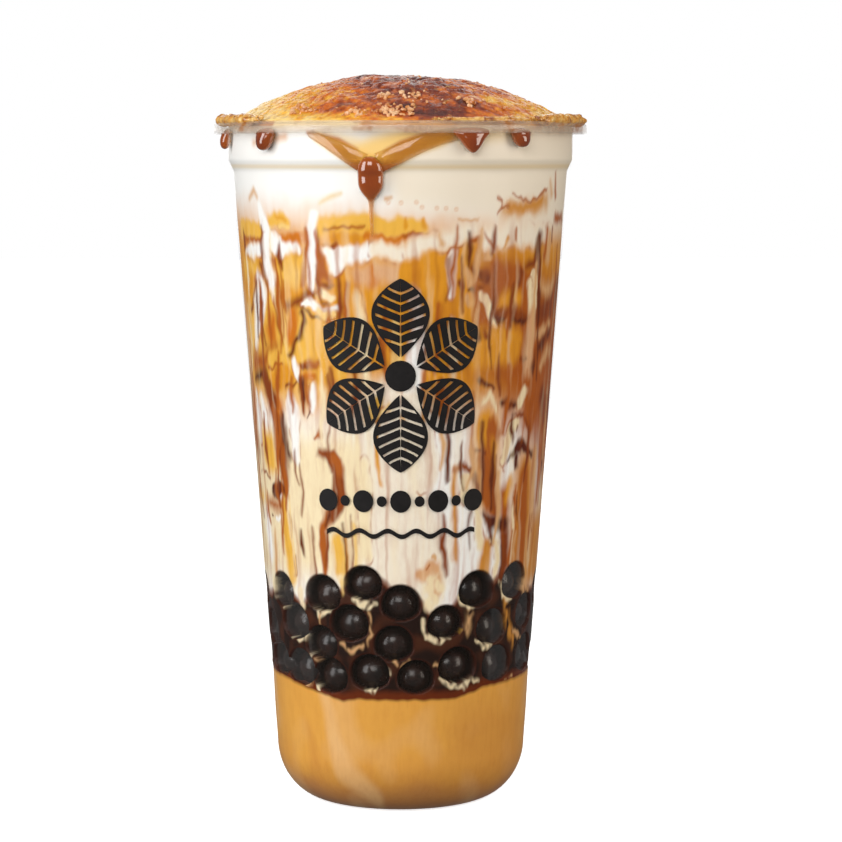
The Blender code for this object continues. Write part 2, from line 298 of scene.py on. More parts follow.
# What shows through the wall is one picture of milk, foam and syrup, which the pieces below share. The syrup
# ran down inside the cup before the milk was poured, so it hangs in drips and sheets with dark lower edges.
# A mark is a colour, the softness of its edge, and a run of (angle from the front, height in mm, half width).
DRINK = {
    "white": rgb(253, 252, 248), "cream": rgb(248, 230, 190), "butter": rgb(246, 208, 130),
    "gold": rgb(240, 186, 76), "amber": rgb(226, 154, 40), "orange": rgb(208, 118, 28),
    "tan": rgb(222, 174, 122), "caramel": rgb(176, 92, 28), "brown": rgb(136, 62, 20),
    "dark": rgb(104, 44, 16), "maroon": rgb(84, 30, 18), "rose": rgb(224, 172, 126),
    "ivory": rgb(247, 236, 217), "honey": rgb(214, 146, 62), "film_and_shoulder_shade": rgb(238, 212, 160),
}
BACKGROUND = (
    ("amber", 8, ((-90, 120, 22), (90, 118, 22))),
    ("gold", 8, ((-70, 112, 10), (-40, 112, 12))),
    ("cream", 6, ((-90, 72, 17), (-25, 75, 18))),
    ("ivory", 4, ((-6, 95, 10), (-2, 75, 13), (4, 62, 16))),
    ("caramel", 9, ((34, 118, 14), (60, 110, 18), (80, 100, 20))),
    ("honey", 5, ((58, 80, 8), (58, 62, 10), (80, 62, 10))),
    ("amber", 4, ((35, 90, 7), (35, 80, 7))),
)
FOAM = (
    ("ivory", 5, ((4, 158, 12), (40, 154, 14), (86, 152, 14))),
    ("ivory", 3, ((2, 148, 3), (40, 149, 4), (86, 146, 6))),
    ("film_and_shoulder_shade", 2.0, ((-27, 160.8, 1), (-12, 156.6, 3.2), (12, 161, 2.4))),
    ("butter", 1.6, ((-14, 156.4, 1.6), (-8, 157.4, 2.2), (6, 160.6, 1.8))),
    ("film_and_shoulder_shade", 0.9, ((-90, 163.4, 1.1), (0, 163.4, 1.2), (90, 163.4, 1.1))),
    ("honey", 0.8, ((-12, 163.1, 0.8), (14, 163, 1.0), (52, 163.1, 1.0))),
    ("caramel", 0.6, ((-62, 163.3, 0.4), (-46, 163.3, 0.6))),
    ("caramel", 0.7, ((18, 163.2, 0.5), (30, 163.1, 0.8), (45, 163.2, 0.5))),
    ("caramel", 0.6, ((-31, 161.4, 0.4), (-20, 159.5, 0.6), (-14, 157.2, 0.5))),
    ("caramel", 0.6, ((22, 161.6, 0.6), (8, 160.8, 0.6), (0, 158.8, 0.5), (-5, 156.9, 0.4))),
    ("film_and_shoulder_shade", 2.4, ((20, 161, 2), (46, 162, 1))),
    ("rose", 1.6, ((-56, 159, 0.4), (-40, 160.4, 0.6))),
    ("gold", 1.2, ((-28, 160.4, 0.8), (-20, 157.6, 1.4), (-10, 153.6, 2.4))),
    ("gold", 1.2, ((16, 160.4, 1.2), (6, 158.4, 1.6), (-2, 155.4, 1.8), (-10, 153.6, 2))),
    ("tan", 1.0, ((-64, 146, 0.5), (-60, 148, 0.7), (-58, 146.4, 0.4))),
    ("film_and_shoulder_shade", 0.8, ((-28, 145.2, 0.3), (-24, 146.6, 0.5), (-20, 147.4, 0.3))),
    # Painted shade: a thin tan line round the front at the shoulder step, where the neck ring shades the
    # cream behind it.
    ("film_and_shoulder_shade", 0.7, ((-90, 153.6, 0.2), (0, 153.4, 0.3), (90, 153.6, 0.3))),
    ("tan", 0.6, ((-5, 146.2, 0.4), (-3, 146.5, 0.3))),
    ("caramel", 0.8, ((66, 152, 0.4), (67, 148, 0.7), (68, 146.4, 0.7))),
    ("tan", 1.4, ((62, 150, 0.4), (64, 147, 0.8))),
)
UPPER_LEFT = (
    ("rose", 4, ((-84, 118, 7), (-82, 100, 7))),
    ("gold", 0.9, ((-76, 139, 2), (-66, 139, 2), (-57, 139, 2.3))),
    ("caramel", 0.8, ((-73, 136.9, 0.5), (-65, 136.3, 0.6), (-56, 136.4, 0.6))),
    ("brown", 1.0, ((-56, 138.2, 0.9), (-54.6, 136.4, 0.8))),
    ("white", 1.0, ((-70, 133.8, 1), (-62, 133.5, 2), (-58, 134, 1.6))),
    ("gold", 2.0, ((-74, 129, 3), (-62, 129.5, 2))),
    ("amber", 2.0, ((-70, 125, 3), (-66, 126.5, 2))),
    ("brown", 0.9, ((-58.6, 130, 1), (-57.8, 128, 0.9))),
    ("caramel", 1.0, ((-64.5, 127, 1), (-60, 127.5, 0.8))),
    ("brown", 1.2, ((-64.5, 125.5, 0.5), (-66.5, 122, 0.9), (-70, 119.5, 0.9))),
    ("white", 1.6, ((-61.5, 127, 1.6), (-60, 124, 3.4), (-62, 120, 4.2), (-66, 114.5, 2.2),
                    (-68, 111, 1.2))),
    ("gold", 1.6, ((-53.5, 125, 1.6), (-54, 119, 3.4), (-57, 114, 4))),
    ("orange", 2.0, ((-52.5, 118, 1.6), (-55, 114.5, 3))),
    ("brown", 1.2, ((-50.6, 123, 0.3), (-49.6, 118, 0.9), (-48.6, 113, 0.7))),
    ("white", 0.9, ((-57.5, 144.5, 1), (-55.5, 141, 2.2), (-52.5, 137, 2.6), (-47, 134.5, 2.2),
                    (-38, 134.4, 1.2))),
    ("white", 1.2, ((-54.5, 135, 2.2), (-54.2, 130, 2.6), (-52.4, 126.5, 2.2), (-49.5, 123, 1.6))),
    ("butter", 1.0, ((-49.6, 124, 1.5), (-48, 119.5, 1.8), (-46.6, 115, 1.2), (-46, 111, 0.7))),
    ("caramel", 1.0, ((-51.5, 131.8, 0.6), (-49.8, 131.3, 0.6))),
    ("gold", 1.0, ((-50.5, 141.3, 1.6), (-46, 141.2, 2), (-42, 140.6, 1.8))),
    ("butter", 0.8, ((-46, 139.4, 0.7), (-41, 139.2, 0.6))),
    ("amber", 0.7, ((-47.5, 142, 0.3), (-43, 141, 0.3))),
    ("orange", 0.8, ((-44.5, 136.4, 0.7), (-38, 136.7, 1.1), (-34.2, 137.6, 1.2))),
    ("gold", 1.4, ((-46.5, 128, 3.4), (-41, 128.5, 4.6), (-37.5, 129, 4.4))),
    ("amber", 1.6, ((-45.5, 124, 2), (-37, 124.6, 2.4))),
    ("butter", 2.0, ((-39, 129, 1.8), (-39, 127, 1.5))),
    ("caramel", 0.9, ((-34.6, 134.5, 0.8), (-35.2, 130, 1.0), (-36, 126, 0.9))),
    ("brown", 1.3, ((-44.6, 121.5, 0.9), (-38, 122.2, 1.1), (-32, 124.4, 1.1))),
    ("white", 0.8, ((-30.6, 140.5, 2.6), (-31, 135, 2.1), (-32.2, 129, 2.0), (-32.8, 126.4, 1.6))),
    ("caramel", 0.8, ((-28.2, 139, 0.5), (-28.6, 134, 0.9), (-27.6, 130, 1.2), (-25.4, 127.2, 0.8))),
    ("brown", 0.7, ((-27.9, 139.4, 0.35), (-28.6, 134, 0.35))),
    ("white", 0.9, ((-26, 134.6, 1.4), (-22.5, 131.6, 3.2), (-17, 133.6, 1.9), (-10, 134.4, 1.6))),
    ("ivory", 1.2, ((-8, 134.5, 1.6), (0, 133.8, 2.2))),
    ("gold", 1.0, ((-27, 140, 2), (-15, 140.5, 2.8), (-6, 140, 2.4), (8, 139.6, 1.9))),
    ("amber", 1.0, ((-24, 137.4, 1.2), (-12, 136.6, 1.4), (-9, 138, 1))),
    ("caramel", 0.6, ((-26, 139.2, 0.3), (-18, 139.7, 0.4), (-12, 139.4, 0.3))),
    ("orange", 0.7, ((-12, 136.9, 0.8), (-5, 137.3, 0.6), (1, 137.3, 0.7), (8, 137.4, 0.7))),
    ("caramel", 0.5, ((1, 137.5, 0.5), (7, 137.5, 0.5))),
    ("brown", 0.6, ((-23, 135.4, 0.7), (-22.2, 135.3, 0.7))),
    ("rose", 1.6, ((-15, 129, 2.6), (-6, 129.4, 2.4), (2, 128, 3))),
    ("orange", 1.2, ((-10, 130.6, 0.8), (-9, 127, 1.2))),
    ("white", 0.5, ((-37, 121.2, 0.5), (-33.4, 121.9, 1.3), (-29.5, 121, 0.8), (-23, 120.8, 0.7))),
    ("butter", 0.6, ((-30, 120.3, 0.9), (-24.5, 119.8, 0.8))),
    ("dark", 0.5, ((-36.5, 120.3, 0.2), (-33.8, 119.2, 0.4), (-30.5, 118.8, 0.25))),
    ("cream", 0.6, ((-29.6, 125.6, 0.9), (-27, 124.8, 1.0), (-24.6, 123.4, 0.8))),
    ("brown", 0.6, ((-30.2, 124.4, 0.4), (-28, 122.8, 0.4), (-25.8, 122.3, 0.3))),
    ("brown", 0.6, ((-29.8, 127.3, 0.4), (-26.5, 126.5, 0.5), (-24.2, 126, 0.3))),
    ("orange", 1.2, ((-41.5, 119, 2.6), (-42.5, 115, 3))),
    ("dark", 0.9, ((-37.2, 119.4, 0.9), (-36.3, 117, 1.1), (-38, 113.8, 0.9), (-41.4, 111.8, 0.8),
                   (-44.8, 109.8, 0.6))),
    ("white", 0.7, ((-42.2, 108.6, 1.5), (-40.8, 105.6, 1.4), (-40.2, 103.6, 0.7))),
    ("caramel", 2.4, ((-70, 107, 2.4), (-60, 108, 2.2), (-52, 111.4, 0.8))),
    ("maroon", 1.6, ((-70, 103.4, 1), (-64, 104.2, 1.5), (-59, 104, 1.2))),
    ("gold", 1.0, ((-56, 108.6, 1.6), (-50, 109.6, 1.8), (-46.5, 108.6, 1.6))),
    ("amber", 1.2, ((-54.5, 103.6, 2.8), (-48, 104.5, 3), (-44.5, 104.4, 2))),
    ("caramel", 0.5, ((-57.2, 106.6, 0.3), (-53, 107.4, 0.4), (-49, 107, 0.3))),
    ("brown", 0.6, ((-47.5, 101.6, 0.5), (-44, 102.2, 0.5), (-41.4, 103, 0.4))),
    ("butter", 0.8, ((-58.8, 102.6, 0.9), (-57, 101, 0.5))),
    ("caramel", 0.9, ((-38.8, 107.2, 0.8), (-35, 107.3, 1.1), (-31.4, 108.4, 0.7))),
    ("brown", 0.7, ((-38.6, 107.2, 0.6), (-36, 106.6, 0.6))),
    ("orange", 0.9, ((-38, 104.6, 1), (-33.5, 104.8, 0.9))),
)
MIDDLE = (
    ("cream", 1.6, ((-15, 124, 1.2), (-13, 114, 2.2), (-14, 103, 1.6))),
    ("caramel", 1.0, ((-19, 126, 0.8), (-20, 117, 1.3), (-18.6, 108, 0.8))),
    ("gold", 1.4, ((-22, 116, 1.8), (-22.6, 106, 2.2))),
    ("white", 1.2, ((5, 124, 1.6), (6.4, 113, 3), (4, 103, 3.4))),
    ("caramel", 0.9, ((-5, 122, 0.8), (-6.4, 114, 1.4), (-5, 105, 0.8))),
    ("butter", 1.2, ((-2, 118, 1.4), (-1, 108, 1.8))),
    ("caramel", 0.9, ((14, 121, 0.8), (13.4, 112, 1.2), (12, 106, 0.6))),
    ("cream", 1.0, ((18.6, 118, 1.2), (19.4, 110, 1.6), (19, 104, 0.8))),
    ("brown", 0.8, ((9.6, 117, 0.4), (9, 111, 0.6))),
)
LOWER_LEFT = (
    ("rose", 3, ((-82, 100, 5), (-80, 92, 5))),
    ("caramel", 2.2, ((-76.5, 98, 1), (-76, 92, 1.2), (-75, 88, 2))),
    ("brown", 2.4, ((-77, 88, 1.6), (-74.5, 85, 1.6))),
    ("white", 1.4, ((-70.8, 99.5, 1), (-70, 95, 2), (-69.4, 89, 1.6))),
    ("white", 1.2, ((-65.6, 99, 1.2), (-64.2, 95, 1.8), (-63, 91, 1.2))),
    ("gold", 2.0, ((-65, 89, 3), (-62, 86, 5), (-58.4, 84, 2.6))),
    ("brown", 1.4, ((-61, 104, 2.6), (-57.5, 99.5, 3.6), (-54, 94, 5), (-52.4, 88, 4.4), (-51.6, 83.5, 3),
                    (-51.2, 78, 1.6))),
    ("maroon", 1.6, ((-50, 95, 1), (-50.2, 89, 1.6), (-47.6, 86, 1))),
    ("orange", 2.0, ((-51.4, 98, 1.6), (-52.4, 96, 1.2))),
    ("caramel", 1.4, ((-57.4, 96, 0.8), (-56.6, 89, 1.2), (-56.4, 84, 0.8))),
    ("white", 1.0, ((-45, 98, 2.4), (-44.6, 92, 2.3), (-43.6, 85.5, 2))),
    ("brown", 0.8, ((-38.6, 103.4, 1.7), (-39, 99.8, 1.7), (-39.5, 97, 0.8))),
    ("maroon", 0.8, ((-37.8, 102.6, 0.8), (-38.4, 99.6, 0.6))),
    ("white", 0.7, ((-33.6, 102, 1.5), (-34.4, 99, 1.6), (-35, 97, 1))),
    ("dark", 0.4, ((-37.4, 95.8, 0.25), (-36, 96.2, 0.3))),
    ("caramel", 0.6, ((-34.8, 90.2, 0.5), (-33, 90.8, 0.5), (-31, 91.8, 0.8))),
    ("brown", 1.0, ((-32.6, 87, 0.9), (-29.6, 87, 1.2), (-26, 85.4, 2.4), (-24.6, 82, 2.8), (-25, 78, 3.2),
                    (-27, 74, 2.6))),
    ("caramel", 1.0, ((-27, 86.4, 1.2), (-24, 83.6, 2))),
    ("caramel", 0.9, ((-29.5, 72.4, 1.6), (-32.6, 69.4, 1.4), (-32.4, 65, 1.9), (-31.4, 60.5, 1.3),
                      (-31, 57, 0.6))),
    ("brown", 0.7, ((-30.2, 69, 0.7), (-30.2, 65.5, 0.8), (-31, 60.5, 0.5))),
    ("maroon", 0.9, ((-60.4, 76.6, 1.4), (-56, 77.2, 2), (-52, 77, 1.3))),
    ("caramel", 1.8, ((-66, 74.2, 0.8), (-60, 73.4, 1.4), (-54, 73.4, 1.2))),
    ("maroon", 0.7, ((-60.4, 76.8, 1.3), (-56, 77.3, 1.9), (-52, 77, 1.2))),
    ("brown", 0.5, ((-73, 80.7, 0.2), (-67, 81, 0.4), (-63, 79.6, 0.3))),
    ("gold", 2.0, ((-78, 75, 1.4), (-70, 74.5, 1.6))),
    ("white", 2.0, ((-70, 70, 3), (-68, 62, 3))),
    ("white", 0.5, ((-55, 75.4, 0.8), (-54, 75, 0.8))),
    ("gold", 1.3, ((-53, 74, 2), (-52.4, 66, 2.6), (-51, 57, 2.2))),
    ("caramel", 0.9, ((-56.6, 71.4, 0.6), (-55.8, 67, 0.9), (-55.6, 62, 0.5))),
    ("white", 0.6, ((-60.4, 70.3, 0.6), (-57.6, 70.9, 0.6))),
    ("dark", 0.4, ((-63.8, 70.7, 0.3), (-62.6, 70.6, 0.3))),
    ("butter", 0.5, ((-49, 76, 0.3), (-48.8, 58, 0.4))),
    ("tan", 1.4, ((-63, 65.8, 1.1), (-63, 56, 1.3))),
    ("gold", 1.2, ((-26, 66.5, 2.2), (-24.6, 60, 2.4))),
    ("butter", 1.0, ((-18.6, 70, 1), (-18, 57, 1))),
    ("amber", 0.8, ((-22.8, 67, 0.5), (-22.4, 57, 0.6))),
    ("cream", 1.2, ((-14, 84, 2), (-13.6, 64, 2))),
    ("gold", 1.2, ((-12.4, 96.4, 1.8), (-8.4, 99, 2.2))),
    ("amber", 0.8, ((-8, 97, 1), (-8.8, 90, 0.9), (-8.4, 84, 0.6), (-8.4, 80, 0.4))),
    ("butter", 0.8, ((-4, 98, 0.6), (-9, 96, 0.4))),
)
UPPER_RIGHT = (
    ("ivory", 1.6, ((4, 134, 2.4), (12, 136, 2), (20, 137.6, 2.6), (26, 139, 1.6))),
    ("white", 1.0, ((18, 133, 1.3), (17.8, 124, 1.2))),
    ("amber", 1.2, ((2, 129, 3), (12.6, 131.6, 2.2), (12.6, 127, 3))),
    ("amber", 0.7, ((1.4, 141.6, 0.6), (1.6, 140, 0.8))),
    ("amber", 0.7, ((8.2, 141.4, 0.6), (8.6, 140, 0.9))),
    ("tan", 0.8, ((13.6, 138.2, 0.4), (14.6, 135.8, 0.6))),
    ("tan", 0.6, ((19.6, 141.3, 0.3), (27, 141.8, 0.3))),
    ("tan", 2.0, ((38, 143, 1.6), (50, 144, 1.4), (60, 145, 2))),
    ("honey", 1.2, ((40, 143.6, 1), (50, 143.8, 1), (57, 145.8, 1.2))),
    ("caramel", 0.6, ((41, 146.8, 0.2), (46, 145.6, 0.3), (50, 144.9, 0.3), (56, 147.2, 0.4),
                      (60, 147.6, 0.4))),
    ("caramel", 0.5, ((34.4, 146.6, 0.3), (36.6, 145.6, 0.4), (37, 144.2, 0.4), (34.6, 142.8, 0.2))),
    ("caramel", 0.5, ((37, 144, 0.3), (39.6, 143.7, 0.2))),
    ("ivory", 1.6, ((30, 137, 2.4), (40, 138, 2.4), (50, 137.6, 2.4), (64, 137.6, 2))),
    ("caramel", 0.7, ((29.4, 138, 0.3), (32, 136.2, 0.5), (35, 135.2, 0.3))),
    ("honey", 0.8, ((38.4, 135.4, 0.4), (41, 137.4, 0.7))),
    ("caramel", 0.7, ((24.6, 136.4, 0.6), (26.2, 136.4, 0.8))),
    ("caramel", 0.7, ((44, 139, 0.5), (44, 136.6, 0.5))),
    ("amber", 1.8, ((22, 130.6, 2), (24, 121, 3.6), (24, 116, 3))),
    ("caramel", 1.8, ((34, 130.6, 2.6), (38, 127.5, 4.4), (46, 126.4, 4.6), (50, 125, 3.6))),
    ("amber", 1.6, ((38, 123, 1.6), (46, 122.4, 1.8))),
    ("brown", 1.0, ((26, 130.6, 1), (29, 129.2, 1.2), (31.6, 127.6, 1.3))),
    ("dark", 0.7, ((27.4, 130, 0.5), (31, 127.4, 0.7))),
    ("dark", 0.6, ((25.2, 125.6, 0.5), (30, 126, 0.4))),
    ("tan", 0.8, ((24, 129, 1.2), (25.2, 127.4, 1.3))),
    ("tan", 0.8, ((24.4, 123.6, 1.2), (25, 122.4, 1))),
    ("tan", 0.8, ((30, 132.8, 0.8), (31.4, 133.4, 1))),
    ("brown", 0.8, ((20.8, 126.8, 0.8), (22, 126.2, 0.8))),
    ("cream", 0.6, ((29.2, 124, 1.0), (31.8, 122, 1.2), (34, 119.4, 1.7), (36.4, 116.8, 1))),
    ("maroon", 1.0, ((34, 121.8, 0.4), (37.8, 118, 0.9), (44, 117.3, 0.8), (50, 117.9, 0.9),
                     (54, 119.6, 0.4))),
    ("brown", 1.6, ((36, 120.4, 0.5), (44, 118.8, 0.8), (52, 119.4, 0.6))),
    ("dark", 1.2, ((57.4, 136.4, 1.8), (56.8, 132.6, 2.4), (58.6, 127, 1.2))),
    ("brown", 1.4, ((50, 130.8, 0.8), (56, 131.6, 1.6), (59, 125, 1.6), (60, 119, 2.6))),
    ("brown", 1.0, ((47, 129, 1), (46, 126, 0.8))),
    ("cream", 0.8, ((54.2, 127.6, 2.3), (55.2, 123.6, 2.5), (56.4, 121.4, 1.6))),
    ("cream", 1.2, ((52, 126, 1), (55, 120, 1.6))),
    ("rose", 1.4, ((55.4, 118.6, 2.2), (55, 112, 2.4), (54.2, 106, 1.6))),
    ("amber", 2.0, ((27, 111, 4.4), (36, 112, 4.6), (46, 112, 4))),
    ("dark", 1.0, ((26.4, 114, 1.2), (28, 114.2, 1.2))),
    ("brown", 1.0, ((31, 114.6, 0.9), (32.4, 114.4, 0.8))),
    ("cream", 0.8, ((41.8, 117.2, 0.4), (42, 115.8, 0.7))),
    ("dark", 0.7, ((29.2, 104.6, 0.5), (32, 103, 0.6), (36.6, 101.2, 0.5))),
    ("brown", 0.8, ((50, 108.4, 0.4), (53, 108.5, 0.4))),
    ("brown", 2.4, ((64, 119, 3), (72, 121, 4), (80, 124, 4))),
    ("tan", 1.8, ((62, 125.4, 1.2), (68, 124, 2), (72, 126, 1))),
    ("tan", 1.4, ((60, 113.6, 1.2), (66, 114.2, 1.2), (72, 116, 1))),
    ("dark", 1.2, ((57.6, 106, 1), (60, 109.6, 1.2), (66, 111.6, 1.1), (73, 114.6, 0.9))),
    ("tan", 1.4, ((64.6, 106.6, 1), (70, 109.4, 1.4), (76, 110, 1.4))),
    ("caramel", 1.2, ((62, 138.6, 1), (61.6, 132, 1.2))),
    ("tan", 1.4, ((64.6, 137, 1.4), (64.4, 132, 1.6))),
    ("brown", 1.0, ((67.4, 139, 0.8), (67.4, 136, 0.8))),
    ("caramel", 1.4, ((70, 141.6, 1.4), (75, 141, 1.2), (80, 141, 1))),
)
LOWER_RIGHT = (
    ("ivory", 1.4, ((4, 99, 3.6), (9, 94, 3), (8, 84, 6))),
    ("amber", 0.7, ((0.4, 96.4, 0.5), (1.2, 95.6, 0.4))),
    ("honey", 1.0, ((8, 100, 0.6), (8.4, 95, 0.9))),
    ("caramel", 0.8, ((14.4, 102, 2.4), (15.6, 98, 2.4), (16.6, 95, 1))),
    ("honey", 1.2, ((21.6, 84, 1), (21.4, 79, 1.2), (21.6, 62, 0.9))),
    ("amber", 1.6, ((33, 94, 3), (36, 90, 3.6))),
    ("caramel", 1.4, ((37, 93, 2), (40, 91, 1.6))),
    ("cream", 0.9, ((31.4, 99.2, 0.6), (35, 100, 0.7), (38.4, 96.4, 0.7))),
    ("maroon", 1.0, ((41, 98.8, 0.8), (45, 97.8, 1.2), (48.6, 98, 0.7))),
    ("caramel", 1.2, ((50, 104, 1.6), (56, 99, 2), (57, 94, 2))),
    ("cream", 0.8, ((53.4, 101.2, 1.4), (51, 98.4, 1.8))),
    ("cream", 0.7, ((50.6, 93.6, 1.4), (47, 92, 1.9), (44.4, 88.6, 1.8), (43, 85.6, 1))),
    ("brown", 0.7, ((48.6, 95.6, 0.3), (54, 95, 0.6), (57, 93, 0.6))),
    ("dark", 0.7, ((51, 92.6, 0.4), (50.4, 91.4, 0.3))),
    ("maroon", 0.9, ((45.6, 85.9, 0.4), (50, 87, 1.3), (55, 87.8, 1.5), (60, 86.2, 0.9), (63.4, 85.3, 0.5))),
    ("maroon", 0.8, ((51, 85, 1.2), (51.4, 83, 0.9))),
    ("white", 0.7, ((44.8, 84, 1.0), (47.4, 83.4, 1.7), (48.8, 82.4, 1.3))),
    ("caramel", 1.8, ((33, 86, 3.2), (36, 79, 4.4), (40, 74.4, 3.4))),
    ("caramel", 1.6, ((45, 77, 2.6), (46, 70, 2.6))),
    ("amber", 1.6, ((47.6, 79, 2), (46, 76, 1.4))),
    ("brown", 0.8, ((25, 85, 0.7), (28.6, 82, 1.0), (30.6, 78, 1.2))),
    ("brown", 0.6, ((29, 88, 0.4), (34, 87, 0.4))),
    ("caramel", 0.9, ((21.6, 83.4, 1.1), (24, 84.4, 0.8))),
    ("cream", 0.6, ((25.6, 81.2, 1.6), (25.4, 77, 1.8))),
    ("cream", 1.0, ((30, 74, 0.6), (32, 70, 1.4), (33, 66, 1.6))),
    ("maroon", 1.2, ((34.4, 72.6, 0.8), (37.6, 70.4, 1.9), (42, 69.8, 2.0), (46, 69.6, 2.2))),
    ("brown", 1.4, ((46, 66, 2.6), (47.4, 60, 2.2), (46, 56, 1.4))),
    ("dark", 1.0, ((44.6, 64, 0.7), (45.8, 60, 0.9), (45, 56, 0.8))),
    ("honey", 1.4, ((36.4, 64, 2.8), (36, 59, 3.2))),
    ("cream", 0.8, ((38, 66.2, 0.7), (41.4, 65.4, 1.0), (43, 61, 1.0), (42.6, 57, 0.8))),
    ("cream", 0.7, ((50.6, 76, 0.5), (51, 66, 0.7), (50.8, 58, 0.7))),
    ("caramel", 0.7, ((52.6, 76, 0.3), (52.8, 62, 0.4))),
    ("caramel", 2.2, ((57, 80, 3.4), (58, 70, 3.6), (58, 60, 4))),
    ("tan", 1.4, ((65, 85.6, 2), (66.4, 74, 2.2), (66, 60, 2.4))),
    ("caramel", 1.6, ((71.4, 86, 1.6), (71.4, 74, 1.4))),
    ("brown", 2.4, ((68, 99, 3), (74, 95, 4), (84, 96, 5))),
    ("caramel", 1.6, ((60, 92, 2), (62, 96, 2))),
    ("rose", 1.0, ((6, 58.6, 1.2), (14, 59, 3), (14, 56, 3.4))),
    ("caramel", 0.4, ((10.6, 59.6, 0.25), (12.4, 60.2, 0.25))),
    ("tan", 0.4, ((13.4, 62.6, 0.4), (14.4, 62.4, 0.4))),
)
SMALL_BUBBLES = ((-4, 145.4), (0.2, 145.3), (5.3, 145.4), (7.2, 144.3), (12.2, 144.1), (15.4, 144),
                 (19, 143.8))
PALE = ("white", "cream", "ivory", "butter")
FOAM_LOW = 142


def thin_runs():
    """Marks for fine threads of syrup at both sides of the front, brown for the most part."""
    draw = random.Random(33)
    marks = []
    for _ in range(130):
        angle = draw.choice((-1, 1)) * draw.uniform(15, 88)
        top, long, wide = draw.uniform(66, 140), draw.uniform(4, 20), draw.uniform(0.35, 1.3)
        tone = draw.choice(("brown", "dark", "caramel", "brown", "caramel", "cream" if angle < 0 else "tan"))
        middle = (angle + draw.uniform(-1, 1), top - long * 0.6, wide)
        end = (angle + draw.uniform(-1.5, 1.5), top - long, wide * 0.5)
        marks.append((tone, 0.9, ((angle, top, wide * 0.5), middle, end)))
    return tuple(marks)


def streaks_behind():
    """Marks for the side away from the front: sheets of syrup with dark lower edges and milk between."""
    draw = random.Random(21)
    marks = [("amber", 6, ((90, 118, 22), (180, 118, 24), (270, 120, 22))),
             ("cream", 6, ((90, 74, 16), (180, 76, 18), (270, 72, 16)))]
    for _ in range(34):
        angle, top, low = draw.uniform(84, 276), draw.uniform(104, 140), draw.uniform(84, 122)
        wide = draw.uniform(2, 5)
        tone = draw.choice(("gold", "amber", "orange", "caramel", "butter"))
        end, foot = angle + draw.uniform(-2.5, 2.5), min(low, top - 5)
        marks.append((tone, 1.4, ((angle, top, wide), (end, foot, wide * 0.8))))
        left, right = (end - wide * 0.6, foot - wide * 0.55, 0.6), (end + wide * 0.5, foot - wide * 0.6, 0.8)
        marks.append((draw.choice(("brown", "dark", "maroon")), 0.9, (left, right)))
    for _ in range(46):
        angle, top = draw.uniform(82, 278), draw.uniform(70, 138)
        wide, long = draw.uniform(0.8, 2.4), draw.uniform(5, 16)
        lean = draw.uniform(-2, 2)
        marks.append((draw.choice(("white", "cream", "white")), 1.0,
                      ((angle, top, wide), (angle + lean, top - long, wide * draw.uniform(0.4, 1.1)))))
    for _ in range(30):
        angle, top = draw.uniform(84, 276), draw.uniform(68, 104)
        wide, long = draw.uniform(0.7, 2.6), draw.uniform(6, 20)
        marks.append((draw.choice(("brown", "caramel", "caramel", "gold")), 1.0,
                      ((angle, top, wide), (angle + draw.uniform(-2, 2), top - long, wide * 0.5))))
    return tuple(marks)


def swirl(angles, heights, across, along, seed):
    """Smooth noise round the wall, from about -1 to 1, with a grain in degrees across and mm along."""
    cells = max(3, round(360 / across))
    slopes = np.random.default_rng(seed).uniform(0, 2 * math.pi, (cells, 512))
    x, y = angles / 360 * cells, heights / along + 100
    column, row = np.floor(x).astype(int), np.floor(y).astype(int)
    right, up = x - column, y - row

    def pull(i, j):
        turn = slopes[(column + i) % cells, (row + j) % 512]
        return np.cos(turn) * (right - i) + np.sin(turn) * (up - j)

    ease_right, ease_up = (t * t * t * (t * (6 * t - 15) + 10) for t in (right, up))
    low = pull(0, 0) + (pull(1, 0) - pull(0, 0)) * ease_right
    high = pull(0, 1) + (pull(1, 1) - pull(0, 1)) * ease_right
    return 1.5 * (low + (high - low) * ease_up)


def chain_distance(angles, heights, spots):
    """Distance to a run of round spots joined up, as angle and height measure it. It is negative inside."""
    nearest = np.full(len(angles), 999.0)
    for (a0, h0, w0), (a1, h1, w1) in zip(spots, spots[1:]):
        run, rise = a1 - a0, h1 - h0
        across = (angles - (a0 + a1) / 2 + 180) % 360 - 180 + run / 2
        share = np.clip((across * run + (heights - h0) * rise) / (run * run + rise * rise), 0, 1)
        away = np.hypot(across - share * run, heights - h0 - share * rise)
        nearest = np.minimum(nearest, away - w0 - share * (w1 - w0))
    return nearest


def paint(colours, angles, heights, marks, rims=None):
    """Lays soft-edged marks over the colours. Where rims is high, syrup lines the edges of the pale ones."""
    for tone, soft, spots in marks:
        reach = soft + 1.2
        low = min(h - w for _, h, w in spots) - reach
        high = max(h + w for _, h, w in spots) + reach
        near = np.nonzero((heights > low) & (heights < high))[0]
        distance = chain_distance(angles[near], heights[near], spots)
        cover = between(-distance, -soft, soft)
        cover = (cover * cover * (3 - 2 * cover))[:, None]
        colours[near] += (DRINK[tone] - colours[near]) * cover
        if rims is not None and tone in PALE and soft < 1.7:
            line = between(-np.abs(distance - 0.45 * soft), -0.6, -0.1) * rims[near]
            colours[near] += (DRINK["caramel"] - colours[near]) * (0.75 * line)[:, None]


